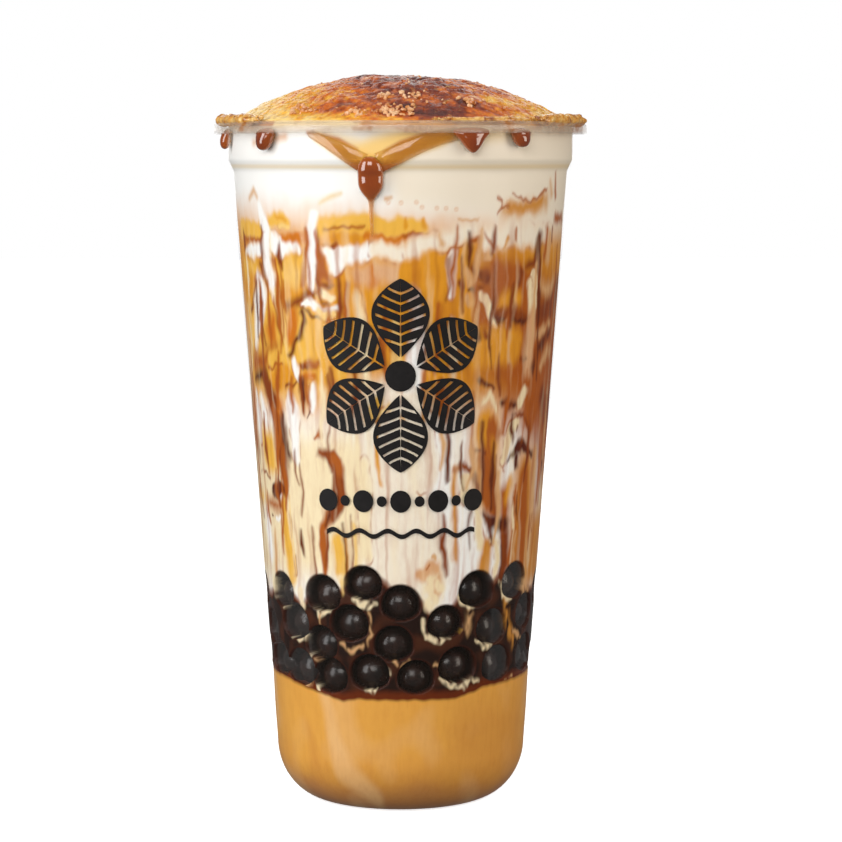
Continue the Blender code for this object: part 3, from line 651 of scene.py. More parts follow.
def drink_colours(angles, heights):
    """The colour of the drink where it touches the wall, for arrays of angle in degrees and height in mm."""
    sway = swirl(angles, heights, 9, 12, 1) * 1.5 + swirl(angles, heights, 3, 5, 2) * 0.8
    lift = swirl(angles, heights, 8, 10, 3) * 1.3 + swirl(angles, heights, 2.6, 4, 4) * 0.8
    fine = swirl(angles, heights, 1.4, 2.4, 5) * 0.25
    a, h = angles + sway * 0.8 + fine, heights + lift * 0.8 + fine
    colours = np.tile(DRINK["white"], (len(angles), 1))
    paint(colours, a, h, streaks_behind() + BACKGROUND)
    fade = between(heights, FOAM_LOW, FOAM_LOW + 4)
    paint(colours, angles + sway * 0.4 * (1 - fade), heights + lift * 0.4 * (1 - fade), FOAM)
    below_foam = between(-heights, -FOAM_LOW, -FOAM_LOW + 6)
    gathered = swirl(angles, heights, 5, 6, 8) + 0.5 * swirl(angles, heights, 2, 2.6, 9)
    rims = between(gathered, -0.15, 0.5) * below_foam
    paint(colours, a, h, MIDDLE + UPPER_LEFT + LOWER_LEFT + UPPER_RIGHT + LOWER_RIGHT, rims)
    strands = swirl(a, heights, 3.4, 34, 6) + 0.35 * swirl(a, heights, 1.5, 15, 7)
    for tone, side, share in (("caramel", 1, 0.55), ("cream", -1, 0.4)):
        cover = between(side * strands, 0.1, 0.85) * share * below_foam
        colours += (DRINK[tone] - colours) * cover[:, None]
    paint(colours, a, h, thin_runs())
    for angle, height in SMALL_BUBBLES:
        ring = np.abs(np.hypot((angles - angle) * 0.7, heights - height) - 0.35)
        colours += (DRINK["rose"] - colours) * (0.6 * between(-ring, -0.35, 0))[:, None]
    return colours


def points_of(made):
    points = np.empty(len(made.data.vertices) * 3, np.float32)
    made.data.vertices.foreach_get("co", points)
    return points.reshape(-1, 3).astype(float)


def move_points(made, points):
    made.data.vertices.foreach_set("co", points.astype(np.float32).ravel())
    made.data.update()


def toned(values, stops):
    """The colours between (level, colour) stops, for an array of values."""
    levels, tones = zip(*stops)
    return np.column_stack([np.interp(values, levels, channel) for channel in zip(*tones)])


def colour_points(made, colours, extra=None):
    """Stores a colour for each vertex, with a second value as its alpha, which the finishes read."""
    layer = made.data.attributes.new("Drink", "FLOAT_COLOR", "POINT")
    extra = np.ones(len(colours)) if extra is None else extra
    layer.data.foreach_set("color", np.column_stack([colours, extra]).astype(np.float32).ravel())


def wall_places(points):
    """Each point's angle from the front, from -90 to 270 degrees, and its height in mm."""
    angles = np.degrees(np.arctan2(points[:, 0], -points[:, 1]))
    angles[angles < -90] += 360
    return angles, points[:, 2] / MM


def milky(name, roughness, threads):
    """Drink against the wall: the stored colour, with fine threads and clouds of syrup drawn downwards."""
    made, tree, shader = finish(name, Roughness=roughness, Specular_IOR_Level=0.1)
    drawn = node(tree, "ShaderNodeAttribute", {"attribute_name": "Drink"})
    spot = own_place(tree)
    long = node(tree, "ShaderNodeMapping", None, {0: spot, 3: (1100, 1100, 110)})[0]
    near = node(tree, "ShaderNodeMapping", None, {0: spot, 3: (520, 520, 330)})[0]
    thin = (grain_noise(tree, long, 1) * 0.55 + grain_noise(tree, near, 1, 4) * 0.45).clipped(0.45, 0.66)
    mixed = node(tree, "ShaderNodeMix", {"data_type": "RGBA", "blend_type": "MULTIPLY"},
                 {0: thin * drawn[3] * threads, 6: drawn[0], 7: (*rgb(190, 122, 62), 1)})[2]
    feed(tree, mixed, shader.inputs["Base Color"])
    return made


# The milk tea at the bottom: opaque, caramel coloured, still unmixed with the rest. It was turned a little as
# the cup was filled, so paler tea hangs in it, and its top rises at both sides.
TEA_TOP = 29.2
INTO_WALL = 0.45 * MM
CORE = 20 * MM
TEA_LINE = ((-90, 32.4), (-62, 32.2), (-46, 30.8), (-33, 29.5), (-26, 28.6), (-19, 29.3), (0, 29.3),
            (24, 29.2), (40, 31.4), (80, 32.2), (130, 30.2), (200, 31.2), (240, 29.8), (270, 32.4))
TEA_TONES = {"pale": rgb(238, 192, 134), "gold": rgb(234, 172, 78), "deep": rgb(214, 148, 68),
             "foot": rgb(190, 130, 80)}
TEA_MARKS = (
    ("pale", 1.6, ((-36, 30, 2.4), (-32, 22, 3), (-27, 12, 4), (-12, 4, 3))),
    ("pale", 1.4, ((-78, 30, 3), (-76, 20, 2))),
    ("gold", 2.0, ((-60, 26, 4), (-52, 14, 5))),
    ("deep", 2.6, ((-46, 20, 1.5), (-42, 10, 2))),
    ("deep", 4.0, ((30, 20, 6), (60, 16, 10))),
)


def drink_radius(height):
    """Where the drink meets the wall: just into the plastic, so that no air shows between them."""
    return inner_radius(height) + INTO_WALL


def tea_line(angles):
    """The height, in mm, at which the tea meets the syrup."""
    line = np.interp(angles, [angle for angle, _ in TEA_LINE], [height for _, height in TEA_LINE])
    return line + 0.25 * swirl(angles, angles * 0, 4, 5, 41)


def tea_colours(angles, heights):
    wander = swirl(angles, heights, 20, 9, 11)
    share = between(heights + 2 * wander, 2, 9)[:, None]
    colours = TEA_TONES["foot"] + (TEA_TONES["deep"] - TEA_TONES["foot"]) * share
    share = between(heights + 3 * wander, 6, 18)[:, None]
    colours += (TEA_TONES["gold"] - colours) * share * 0.75
    puffs = between(swirl(angles, heights, 17, 12, 12), 0.05, 0.6)[:, None]
    colours += (TEA_TONES["pale"] - colours) * puffs * 0.35
    for tone, soft, spots in TEA_MARKS:
        cover = between(-chain_distance(angles + 2 * wander, heights, spots), -soft, soft)[:, None]
        colours += (TEA_TONES[tone] - colours) * cover * 0.6
    edge = between(-np.abs(heights - tea_line(angles) - 0.2), -1.0, -0.3)[:, None]
    return colours + (rgb(100, 44, 18) - colours) * edge


tea_wall = wall_rows(drink_radius, np.linspace(CORNER_HEIGHT / MM, TEA_TOP, 40))[1:]
tea_bm = turned(base_recess(WALL - INTO_WALL) + corner(WALL - INTO_WALL, 24) + tea_wall
                + [(CORE, TEA_TOP * MM), (0, TEA_TOP * MM)], 260, 110)
tea = piece("milk_tea_layer", tea_bm, milky("milk_tea", 0.3, 0.12), "caramel_tea", "milk_tea")
points = points_of(tea)
angles, heights = wall_places(points)
points[:, 2] += between(heights, 22, TEA_TOP) * (tea_line(angles) - TEA_TOP) * MM
move_points(tea, points)
colour_points(tea, tea_colours(*wall_places(points)))


# Tapioca pearls: boiled until glossy and nearly black, a little translucent and red-brown at the edges, and
# uneven in size. They lie against the wall in the front, and in rows behind.
GAP = 0.35 * MM
CAD_TEA_TOP = 28.8 * MM
PEARL_RADIUS = 4.6 * MM
FRONT_PEARLS = (
    (-59, 52.7), (-34, 53.2), (-15.5, 56.2), (0, 51.6), (19, 46.8), (33, 54.2), (55, 55.1),
    (-74, 42.8), (-51, 45.7), (-36, 41.3), (-22, 46.6), (-3, 42.0), (42, 44.8), (66, 47.2),
    (-66, 35.6), (-49, 34.7), (-32, 33.7), (-13.5, 35.0), (6.5, 34.0), (25, 36.4), (46, 35.8), (69, 36.8),
)
BACK_ROWS = (34.5, 43.5, 52.5)
BACK_FROM, BACK_TO = 86, 274
PEARLS_PER_BACK_ROW = 9


def mottled(name, grain, stops, **settings):
    """A finish whose colour wanders between a ramp's stops, by a noise of a scale, detail and roughness."""
    made, tree, shader = finish(name, **settings)
    patches = grain_noise(tree, own_place(tree), *grain)
    tones = node(tree, "ShaderNodeValToRGB", {"stops": stops}, {0: patches})[0]
    feed(tree, tones, shader.inputs["Base Color"])
    return made


def pearl_places():
    """(angle, centre, radius) of every pearl at the wall, drawn in the same order as the model's."""
    draw = random.Random(7)
    spots = list(FRONT_PEARLS)
    spacing = (BACK_TO - BACK_FROM) / (PEARLS_PER_BACK_ROW - 1)
    for row, height in enumerate(BACK_ROWS):
        for number in range(PEARLS_PER_BACK_ROW - row % 2):
            angle = BACK_FROM + spacing * (number + row % 2 / 2) + draw.uniform(-2.5, 2.5)
            spots.append((angle, height + draw.uniform(-1.6, 1.8)))
    places = []
    for angle, height in spots:
        size = PEARL_RADIUS * draw.uniform(0.94, 1.05)
        centre = max(height * MM, CAD_TEA_TOP + GAP + size)
        away = float(inner_radius(centre)) - GAP - size - 0.15 * MM
        places.append((angle, on_wall(angle, away, centre), size))
    return places


PEARLS = pearl_places()
pearl_bm = bmesh.new()
for number, (angle, centre, size) in enumerate(PEARLS):
    ball = bmesh.ops.create_uvsphere(pearl_bm, u_segments=32, v_segments=20, radius=size)["verts"]
    draw = random.Random(number)
    turn = Matrix.Rotation(draw.uniform(0, 3), 3, "X") @ Matrix.Rotation(draw.uniform(0, 3), 3, "Y")
    for vertex in ball:
        lump = 1 + 0.03 * noise.noise(vertex.co * 260 + Vector((number * 3.1, 0, 0)))
        vertex.co = turn @ (vertex.co * lump) + centre
chewy = mottled("tapioca", (320,), ((0.35, rgb(20, 14, 13)), (0.7, rgb(44, 26, 20))),
                Roughness=0.26, Specular_IOR_Level=0.28, Coat_Weight=0.12, Coat_Roughness=0.1)
piece("tapioca_pearls", pearl_bm, chewy, "tapioca", "pearls")


# Dark syrup fills the gaps between the pearls, and the milk comes down to it. Both draw back from the wall
# round each pearl's face, and wisps of milk hang in crescents under the pearls.
SYRUP_TOP = 50
SYRUP_ROWS = 66
FINE_TURN = (480, 160)
HOLLOW_SHARE = 0.9
HOLLOW_LIP = 1.04
BEHIND_PEARL = 0.3 * MM
NEAR_WALL = 0.9
SYRUP_MARKS = (
    ("cream", 1.0, ((-46, 53, 2.0), (-45, 50, 0.8))),
    ("cream", 1.2, ((-67, 55, 2.2), (-66.4, 51.6, 0.8))),
    ("butter", 1.2, ((-24.6, 57, 1.4), (-24, 54.6, 0.6))),
    ("cream", 1.2, ((13.6, 55, 4.2), (12, 52, 2.2))),
    ("tan", 1.2, ((29.6, 49, 1.6), (29, 45, 1.0))),
    ("honey", 1.6, ((49, 52, 1.2), (52, 45, 1.2), (57, 41, 1.4))),
    ("tan", 1.6, ((64, 54, 2.2), (68, 52, 1))),
    ("cream", 0.5, ((-60, 50, 0.3), (-56.4, 47.8, 0.75), (-52.6, 49.8, 0.45))),
    ("cream", 0.5, ((-40, 52, 0.45), (-36.4, 49, 0.9), (-31, 49.8, 0.6))),
    ("tan", 0.6, ((-36, 48.6, 0.5), (-35.4, 46, 0.2))),
    ("cream", 0.5, ((-20, 53, 0.3), (-15, 51.2, 0.9), (-10, 52, 0.6))),
    ("cream", 0.5, ((-54, 43, 0.45), (-48.4, 42, 0.75), (-44, 42.4, 0.45), (-42, 38, 0.3))),
    ("tan", 0.6, ((-26, 42.4, 0.45), (-22, 40, 0.75), (-16, 42, 0.45))),
    ("tan", 0.6, ((-13, 50, 0.3), (-12, 45, 0.45), (-14, 42, 0.3))),
    ("tan", 0.6, ((-40, 38, 0.3), (-34, 36.8, 0.45))),
    ("cream", 0.5, ((-38.6, 34.6, 0.6), (-39.4, 32.6, 1.05), (-38, 30.6, 0.6))),
    ("tan", 0.6, ((-53, 31.6, 0.3), (-47, 31, 0.6), (-42, 31.6, 0.3))),
    ("cream", 0.5, ((-19, 33, 0.22), (-12.4, 31, 0.75), (-7, 33, 0.22))),
    ("tan", 0.6, ((-2.4, 38.2, 0.6), (-1.6, 38, 0.45))),
    ("cream", 0.5, ((-5.4, 36, 0.45), (-4.8, 36, 0.45))),
    ("cream", 0.5, ((9, 48, 0.45), (10.4, 44, 0.75), (16, 43, 0.75), (22, 44.4, 0.75), (25, 46, 0.6))),
    ("cream", 0.5, ((24.6, 53, 0.45), (29, 50.6, 0.9), (36, 52.4, 0.6))),
    ("gold", 0.6, ((26, 45.6, 0.4), (26.4, 45.2, 0.4))),
    ("cream", 0.5, ((45, 56, 0.45), (47.4, 52.4, 0.75), (52, 51.4, 0.9), (57, 53, 0.6))),
    ("cream", 0.5, ((33, 43, 0.3), (37.6, 40.6, 0.75), (42, 41, 0.6), (46, 43, 0.3))),
    ("tan", 0.6, ((56, 43.6, 0.45), (60, 42, 0.75), (64, 41, 0.45))),
    ("cream", 0.5, ((17, 34, 0.3), (22, 32, 0.6), (28, 31.6, 0.75), (32, 33, 0.45), (36, 32.8, 0.3))),
    ("tan", 0.6, ((53, 31.8, 0.45), (58, 31.8, 0.45))),
    ("tan", 0.6, ((0, 37, 0.3), (4, 38.2, 0.45))),
    ("tan", 0.6, ((14, 37.4, 0.45), (18, 37.6, 0.3))),
)
MILK_EDGE = ((-90, 51), (-70, 52), (-60, 55.6), (-52, 54), (-46, 50), (-40, 54.4), (-33, 56.4), (-24, 55),
             (-16, 60), (-8, 57.6), (0, 54.6), (7, 53.4), (12, 50.6), (20, 50.4), (26, 55), (32, 57),
             (39, 55.4), (47, 58), (55, 58.8), (61, 56), (66, 52.6), (80, 53), (130, 54), (200, 53),
             (270, 51))


def layer(low, high, rows):
    """A disc of drink that fills the cup between two heights in mm, with fine rows at the wall."""
    floor, top = [(0, low * MM), (CORE, low * MM)], [(CORE, high * MM), (0, high * MM)]
    return turned(floor + wall_rows(drink_radius, np.linspace(low, high, rows)) + top, *FINE_TURN)


def drawn_back(angles, heights):
    """How far, in metres, the drink stands back from the wall round the pearls, and how near one is."""
    depth = np.zeros(len(angles))
    nearness = np.full(len(angles), 9.0)
    for angle, centre, size in PEARLS:
        near = np.nonzero(np.abs(heights * MM - centre.z) < size * 1.5)[0]
        radius = float(drink_radius(centre.z))
        across = np.radians((angles[near] - angle + 180) % 360 - 180) * radius
        below = (centre.z - heights[near] * MM) / size
        away = np.hypot(across / size, below) + 0.6 * np.maximum(0, below - 0.45)
        face = 1 - np.sqrt(1 - np.minimum(away, HOLLOW_SHARE) ** 2)
        full = size * face + radius - centre.xy.length - size + BEHIND_PEARL
        depth[near] = np.maximum(depth[near], full * between(-away, -HOLLOW_LIP, -HOLLOW_SHARE))
        nearness[near] = np.minimum(nearness[near], away)
    return depth, nearness


def draw_back(points):
    """The points, with those at the wall moved to where the drink stands."""
    angles, heights = wall_places(points)
    away = np.hypot(points[:, 0], points[:, 1])
    at_wall = away > NEAR_WALL * drink_radius(points[:, 2])
    depth = drawn_back(angles, heights)[0] * at_wall
    moved = points.copy()
    moved[:, :2] *= ((away - depth) / np.maximum(away, 1 * MM))[:, None]
    return moved


def syrup_colours(angles, heights):
    dark, warm = rgb(36, 22, 18), rgb(86, 46, 28)
    share = between(swirl(angles, heights, 7, 5, 31), -0.1, 0.5)[:, None]
    colours = dark + (warm - dark) * share * 0.6
    low = between(-(heights - tea_line(angles)), -2.4, -0.8)[:, None]
    colours += (rgb(104, 44, 18) - colours) * low
    sway = swirl(angles, heights, 5, 5, 33) * 0.9
    ripple = swirl(angles, heights, 3, 3, 34) * 0.9
    curl = swirl(angles, heights, 2.6, 2.6, 35) * 0.8
    milk = drink_colours(angles, heights)
    edge = np.interp(angles, [angle for angle, _ in MILK_EDGE], [height for _, height in MILK_EDGE])
    share = between(heights, edge - 1.2 + sway, edge + 0.6 + sway)[:, None]
    colours += (milk - colours) * share
    rim = between(-np.abs(heights - edge + 0.6 - sway), -1.4, -0.2)[:, None]
    colours += (DRINK["brown"] - colours) * rim * 0.55
    nearness = drawn_back(angles, heights)[1]
    # Painted shade: a darker ring on the drink round each pearl, where it curves back from the wall into the
    # hollow.
    painted_meniscus_shade = between(-nearness, -1.16, -1.06)[:, None]
    colours += (rgb(64, 30, 20) - colours) * painted_meniscus_shade * 0.9
    threads = colours.copy()
    paint(threads, angles + sway * 0.3 + ripple, heights + curl, SYRUP_MARKS)
    wisps = between(swirl(angles, heights, 2.2, 2.2, 36), -0.7, 0)[:, None]
    colours += (threads - colours) * wisps * 0.9
    # Painted shade: the slope down into each pearl's hollow is made near black, for the shaded gap round the
    # pearl.
    inside = between(-nearness, -1.05, -0.98)[:, None]
    return colours + (rgb(22, 14, 12) - colours) * inside


syrup_bm = layer(TEA_TOP, SYRUP_TOP, SYRUP_ROWS)
syrup = piece("syrup_between_pearls", syrup_bm, milky("pearl_syrup", 0.25, 0.2), "tapioca")
points = points_of(syrup)
angles, heights = wall_places(points)
points[:, 2] += (1 - between(heights, TEA_TOP, TEA_TOP + 4)) * (tea_line(angles) - TEA_TOP) * MM
colour_points(syrup, syrup_colours(*wall_places(points)))
move_points(syrup, draw_back(points))


# The milk with its brown sugar streaks, from the pearls up to the cream. It touches the wall everywhere but
# at the pearls. Two turned blocks, one on the other, stand for the one body of milk.
CREAM_LOW = 141.5
MILK_MIDDLE = 96
MILK_ROWS = 150
WAVE_DEPTH = 10


def milk_boundary(angles):
    """The level, in mm, where the white cream meets the streaked milk at the wall."""
    turns = np.radians(angles)
    wave = 0.7 * np.sin(turns + 0.6) + 0.45 * np.sin(3 * turns - 0.5) + 0.35 * np.sin(5 * turns + 1.2)
    return CREAM_LOW + 2.2 * wave


milk_finish = milky("brown_sugar_milk", 0.35, 0.16)
for name, low, high in (("streaked_milk_lower", SYRUP_TOP, MILK_MIDDLE),
                        ("streaked_milk_upper", MILK_MIDDLE, CREAM_LOW)):
    milk = piece(name, layer(low, high, MILK_ROWS), milk_finish, "brown_sugar_milk", "streaked_milk")
    points = points_of(milk)
    angles, heights = wall_places(points)
    if high == CREAM_LOW:
        share = between(heights, CREAM_LOW - WAVE_DEPTH, CREAM_LOW)
        points[:, 2] += share * (milk_boundary(angles) - CREAM_LOW) * MM
        colour_points(milk, drink_colours(*wall_places(points)), between(-heights, -139, -128))
    else:
        colour_points(milk, syrup_colours(angles, heights))
        points = draw_back(points)
    move_points(milk, points)


# The cream: whipped milk foam poured to the brim and mounded above it. Sugar on top was torched to a
# crackled crust, golden at the edges and burnt red-brown in the middle, with relief of half a millimetre.
DOME_APEX = 175.3
DOME_EDGE = 164.3
DOME_EDGE_RADIUS = 40.5
DOME_POWER = 2.2
DOME_RINGS = 84
FOAM_WAVE_DEPTH = 8
CRUST_TONES = ((0.0, rgb(250, 214, 130)), (0.22, rgb(247, 190, 66)), (0.45, rgb(234, 154, 36)),
               (0.72, rgb(210, 104, 20)), (1.05, rgb(134, 50, 14)), (1.4, rgb(82, 26, 12)))


def dome_height(x, y):
    """The height of the crust, in mm, over a point of the cup's mouth."""
    away = min(1, math.hypot(x, y) / DOME_EDGE_RADIUS)
    mound = DOME_APEX - (DOME_APEX - DOME_EDGE) * away**DOME_POWER
    crags = noise.fractal(Vector((x / 7.5, y / 7.5, 0.5)), 1.0, 2.0, 4)
    flakes = noise.fractal(Vector((x / 1.8, y / 1.8, 4.0)), 1.0, 2.0, 3)
    cracks = abs(noise.noise(Vector((x / 3.4, y / 3.4, 9.0))))
    fade = min(1, (1 - away) / 0.12)
    return mound + fade * (0.55 * crags + 0.2 * flakes - 0.35 * max(0, 0.12 - cracks) / 0.12)


def crust_heat(x, y):
    """How far the flame browned the crust: least near the rim, most in bands across the middle."""
    away = math.hypot(x, y) / DOME_EDGE_RADIUS
    blotch = noise.fractal(Vector((x / 9, y / 5.5, 2.0)), 1.0, 2.0, 4)
    fine = noise.fractal(Vector((x / 2.2, y / 1.6, 7.0)), 1.0, 2.0, 3)
    side = abs(x - 3) / DOME_EDGE_RADIUS
    heat = 1.1 - 1.2 * side**1.5 - 0.15 * away**3 + 0.5 * blotch + 0.35 * fine
    heat += 0.4 * math.exp(-((x - 14) / 9) ** 2 - ((y + 37) / 3.5) ** 2)
    return heat - 0.35 * max(0, away - 0.93) / 0.07 * (1 if x < 4 else 0.5)


neck = wall_rows(drink_radius, np.linspace(CREAM_LOW, 163, 50))
crown = [(DOME_EDGE_RADIUS * (1 - (ring / DOME_RINGS) ** 1.05) * MM, DOME_EDGE * MM)
         for ring in range(DOME_RINGS + 1)]
cream_bm = turned([(0, CREAM_LOW * MM), (CORE, CREAM_LOW * MM)] + neck
                  + [(DOME_EDGE_RADIUS * MM + 0.4 * MM, 163.6 * MM)] + crown, *FINE_TURN)

whipped, tree, shader = finish("whipped_cream", Roughness=0.4, Specular_IOR_Level=0.22)
drawn = node(tree, "ShaderNodeAttribute", {"attribute_name": "Drink"})[0]
spot = own_place(tree)
level = node(tree, "ShaderNodeSeparateXYZ", None, {0: spot})[2]
on_top = level.clipped(163.6 * MM, 164.6 * MM)
speckle = grain_noise(tree, spot, 900, 4, 0.7)
burnt = node(tree, "ShaderNodeMix", {"data_type": "RGBA", "blend_type": "MULTIPLY"},
             {0: speckle.clipped(0.45, 0.62) * on_top * 0.45, 6: drawn, 7: (*rgb(150, 80, 40), 1)})[2]
pits = grain_noise(tree, spot, 420, 4, 0.7)
bright = node(tree, "ShaderNodeMix", {"data_type": "RGBA"},
              {0: pits.clipped(0.58, 0.7) * on_top * 0.3, 6: burnt, 7: (*rgb(246, 196, 96), 1)})[2]
feed(tree, bright, shader.inputs["Base Color"])
rough = grain_noise(tree, spot, 1500, 4, 0.65)
bump = node(tree, "ShaderNodeBump", None, {"Height": rough * on_top, "Strength": 0.5, "Distance": 0.0004})[0]
feed(tree, bump, shader.inputs["Normal"])
feed(tree, 0.5 - 0.25 * on_top, shader.inputs["Roughness"])
cream = piece("cream_and_crust", cream_bm, whipped, "cream", "cream")
points = points_of(cream)
angles, heights = wall_places(points)
crusted = np.abs(heights - DOME_EDGE) < 0.01
share = 1 - between(heights, CREAM_LOW, CREAM_LOW + FOAM_WAVE_DEPTH)
points[:, 2] += share * (milk_boundary(angles) - CREAM_LOW) * MM
colours = drink_colours(*wall_places(points))
spots = points[crusted, :2] / MM
points[crusted, 2] = [dome_height(x, y) * MM for x, y in spots]
colours[crusted] = toned([crust_heat(x, y) for x, y in spots], CRUST_TONES)
move_points(cream, points)
colour_points(cream, colours)


# Coarse sugar grains that stayed whole on the crust: small sharp-cornered lumps, some in clumps, each stuck
# with its lower part in the crust.
CLUMPS = ((-40, 36), (-38, 35.4), (-15, 38.2), (-5, 36.6), (-3, 37.6), (0, 37), (-7, 29), (4.5, 29), (30, 33))

GRAINS_PER_CLUMP = 18
LOOSE_GRAINS = 110
GRAIN_LIFT = 0.2


def grain(bm, draw, x, y, size):
    """One sugar grain: a small lump with flat sides, at a point of the crust, in mm."""
    made = bmesh.ops.create_icosphere(bm, subdivisions=1, radius=size * MM)["verts"]
    twist = draw.uniform(0, 6)
    axis = Vector((draw.uniform(-1, 1), draw.uniform(-1, 1), 1)).normalized()
    turn = Matrix.Rotation(twist, 3, axis)
    stretch = Vector((draw.uniform(0.7, 1.3), draw.uniform(0.7, 1.3), draw.uniform(0.6, 1)))
    centre = Vector((x, y, dome_height(x, y) + GRAIN_LIFT * size)) * MM
    for vertex in made:
        vertex.co = turn @ (vertex.co * draw.uniform(0.8, 1.15) * stretch) + centre


draw = random.Random(5)
grain_bm = bmesh.new()
for angle, away in CLUMPS:
    for _ in range(GRAINS_PER_CLUMP):
        place = on_wall(angle + draw.gauss(0, 2.4), away + draw.gauss(0, 1.2), 0)
        if place.length < 40:
            grain(grain_bm, draw, place.x, place.y, draw.uniform(0.25, 0.75))
for _ in range(LOOSE_GRAINS):
    place = on_wall(draw.uniform(0, 360), 39.5 * draw.uniform(0, 1) ** 0.5, 0)
    grain(grain_bm, draw, place.x, place.y, draw.uniform(0.15, 0.42))
sugar = mottled("sugar_grains", (260, 2),
                ((0.36, rgb(190, 112, 48)), (0.5, rgb(224, 166, 112)), (0.66, rgb(240, 202, 160))),
                Roughness=0.25, Specular_IOR_Level=0.6)
grains = piece("sugar_grains", grain_bm, sugar, "cream")
grains.data.shade_flat()


# Melted sugar that ran onto the rim and set there in knobbly golden ridges, mostly at the left and the right.
# It is hard caramel, stuck to the top of the lip. Each ridge is (from, to, half width in mm, radius in mm).
RIM_CRUSTS = ((-86, -50, 1.25, 42.9), (10, 46, 0.6, 42.2), (46, 86, 1.3, 42.9), (150, 176, 1.0, 42.9),
              (226, 252, 1.0, 42.9))
RIDGE_STEP = 1.5
CRUMBS_PER_DEGREE = 1.2


def tube(bm, path, sides=20, flat=1.0):
    """A round run through (point, radius) pairs, from a ball drawn out along it, and pressed flat."""
    smooth = [(p0.lerp(p1, t / 4), r0 + (r1 - r0) * t / 4) for (p0, r0), (p1, r1) in zip(path, path[1:])
              for t in range(4)] + [path[-1]]
    for _ in range(3):
        inner = [((a[0] + b[0] * 2 + c[0]) / 4, (a[1] + b[1] * 2 + c[1]) / 4)
                 for a, b, c in zip(smooth, smooth[1:], smooth[2:])]
        smooth = [smooth[0]] + inner + [smooth[-1]]
    last = len(smooth) - 1
    ball = bmesh.ops.create_uvsphere(bm, u_segments=sides, v_segments=last, radius=1)["verts"]
    for vertex in ball:
        number = round(math.acos(max(-1, min(1, vertex.co.z))) / math.pi * last)
        centre, radius = smooth[number]
        ahead = smooth[min(number + 1, last)][0] - smooth[max(number - 1, 0)][0]
        side = ahead.cross(Vector((centre.x, centre.y, 0))).normalized()
        out = side.cross(ahead).normalized()
        round_it = vertex.co.xy.normalized() if vertex.co.xy.length > 1e-4 else Vector((0, 0))
        vertex.co = centre + (side * round_it.x + out * round_it.y * flat) * radius
    return ball


draw = random.Random(9)
rim_bm = bmesh.new()
for first, last, size, radius in RIM_CRUSTS:
    steps = round((last - first) / RIDGE_STEP)
    path = []
    for step in range(steps + 1):
        share = step / steps
        swell = min(1, 6 * share + 0.15, 6 * (1 - share) + 0.15)
        path.append((on_wall(first + (last - first) * share, radius * MM, (164.1 + 0.15 * size) * MM),
                     size * swell * MM * draw.uniform(0.85, 1.25)))
    for vertex in tube(rim_bm, path, 24, 1.35):
        lump = noise.fractal(vertex.co / (1.3 * MM), 1.0, 2.0, 3)
        out = Vector((vertex.co.x, vertex.co.y, 0)).normalized()
        vertex.co += (Vector((0, 0, 0.5)) + out * 0.35) * lump * size * 0.55 * MM
    for _ in range(int(CRUMBS_PER_DEGREE * (last - first))):
        angle = draw.uniform(first, last)
        big = size * draw.uniform(0.2, 0.5)
        ball = bmesh.ops.create_icosphere(rim_bm, subdivisions=2, radius=big * MM)["verts"]
        away = radius + draw.uniform(-1.4, 1.4)
        centre = on_wall(angle, away * MM, (164.2 + draw.uniform(0, 0.8) * size) * MM)
        for vertex in ball:
            vertex.co = vertex.co * (1 + 0.35 * noise.noise(vertex.co * 900 + centre * 5000)) + centre
crumbly = mottled("melted_sugar", (460, 4, 0.7),
                  ((0.36, rgb(140, 68, 22)), (0.47, rgb(206, 140, 50)), (0.64, rgb(236, 194, 112))),
                  Roughness=0.26, Specular_IOR_Level=0.6, Coat_Weight=0.3)
piece("rim_sugar_crust", rim_bm, crumbly, "cream")


# Caramel syrup that ran over the rim: short fat drips under the lip, and at the front two runs that meet in
# one hanging drop with a thread below it. Thick syrup is dark brown, and its thin edges are clear and golden.
# A drip is (angle, lowest height, thickness, breadth), and a run is a list of (angle, height, half width).
RIM_DRIPS = (
    (-76, 157.6, 1.6, 1.2), (-47, 157.2, 2.1, 1.1), (22.5, 156.6, 2.0, 2.2), (40.5, 157.9, 2.0, 1.25),
    (118, 156.8, 1.8, 1.2), (158, 158.6, 1.4, 1.2), (203, 155.6, 1.9, 1.2), (236, 158.2, 1.5, 1.3),
)
RUN_LEFT = ((-31, 161.2, 0.7), (-26, 159.9, 1.2), (-21, 158, 1.6), (-16, 156, 2.0), (-10.5, 153.8, 2.4))
RUN_RIGHT = ((20, 161.2, 1.4), (13, 160.4, 1.8), (6, 158.6, 2.0), (-1, 156.2, 2.2), (-8.8, 153.8, 2.4))
RUN_DROP = (
    (-9.6, 156, 1.0), (-9.6, 154.6, 2.4), (-9.6, 153.2, 3.1), (-9.6, 151.8, 3.0), (-9.6, 150.4, 3.0),
    (-9.6, 149.0, 2.9), (-9.6, 147.6, 2.2), (-9.6, 146.4, 1.1), (-9.6, 145.4, 0.6), (-9.6, 142, 0.5),
    (-9.5, 139.6, 0.45), (-9.5, 137.6, 0.3),
)
IN_PLASTIC = 0.3 * MM
SYRUP_TONES = ((0, rgb(236, 178, 76)), (0.4, rgb(204, 128, 36)), (0.8, rgb(168, 86, 20)),
               (2.0, rgb(154, 70, 12)), (3.2, rgb(122, 48, 8)))


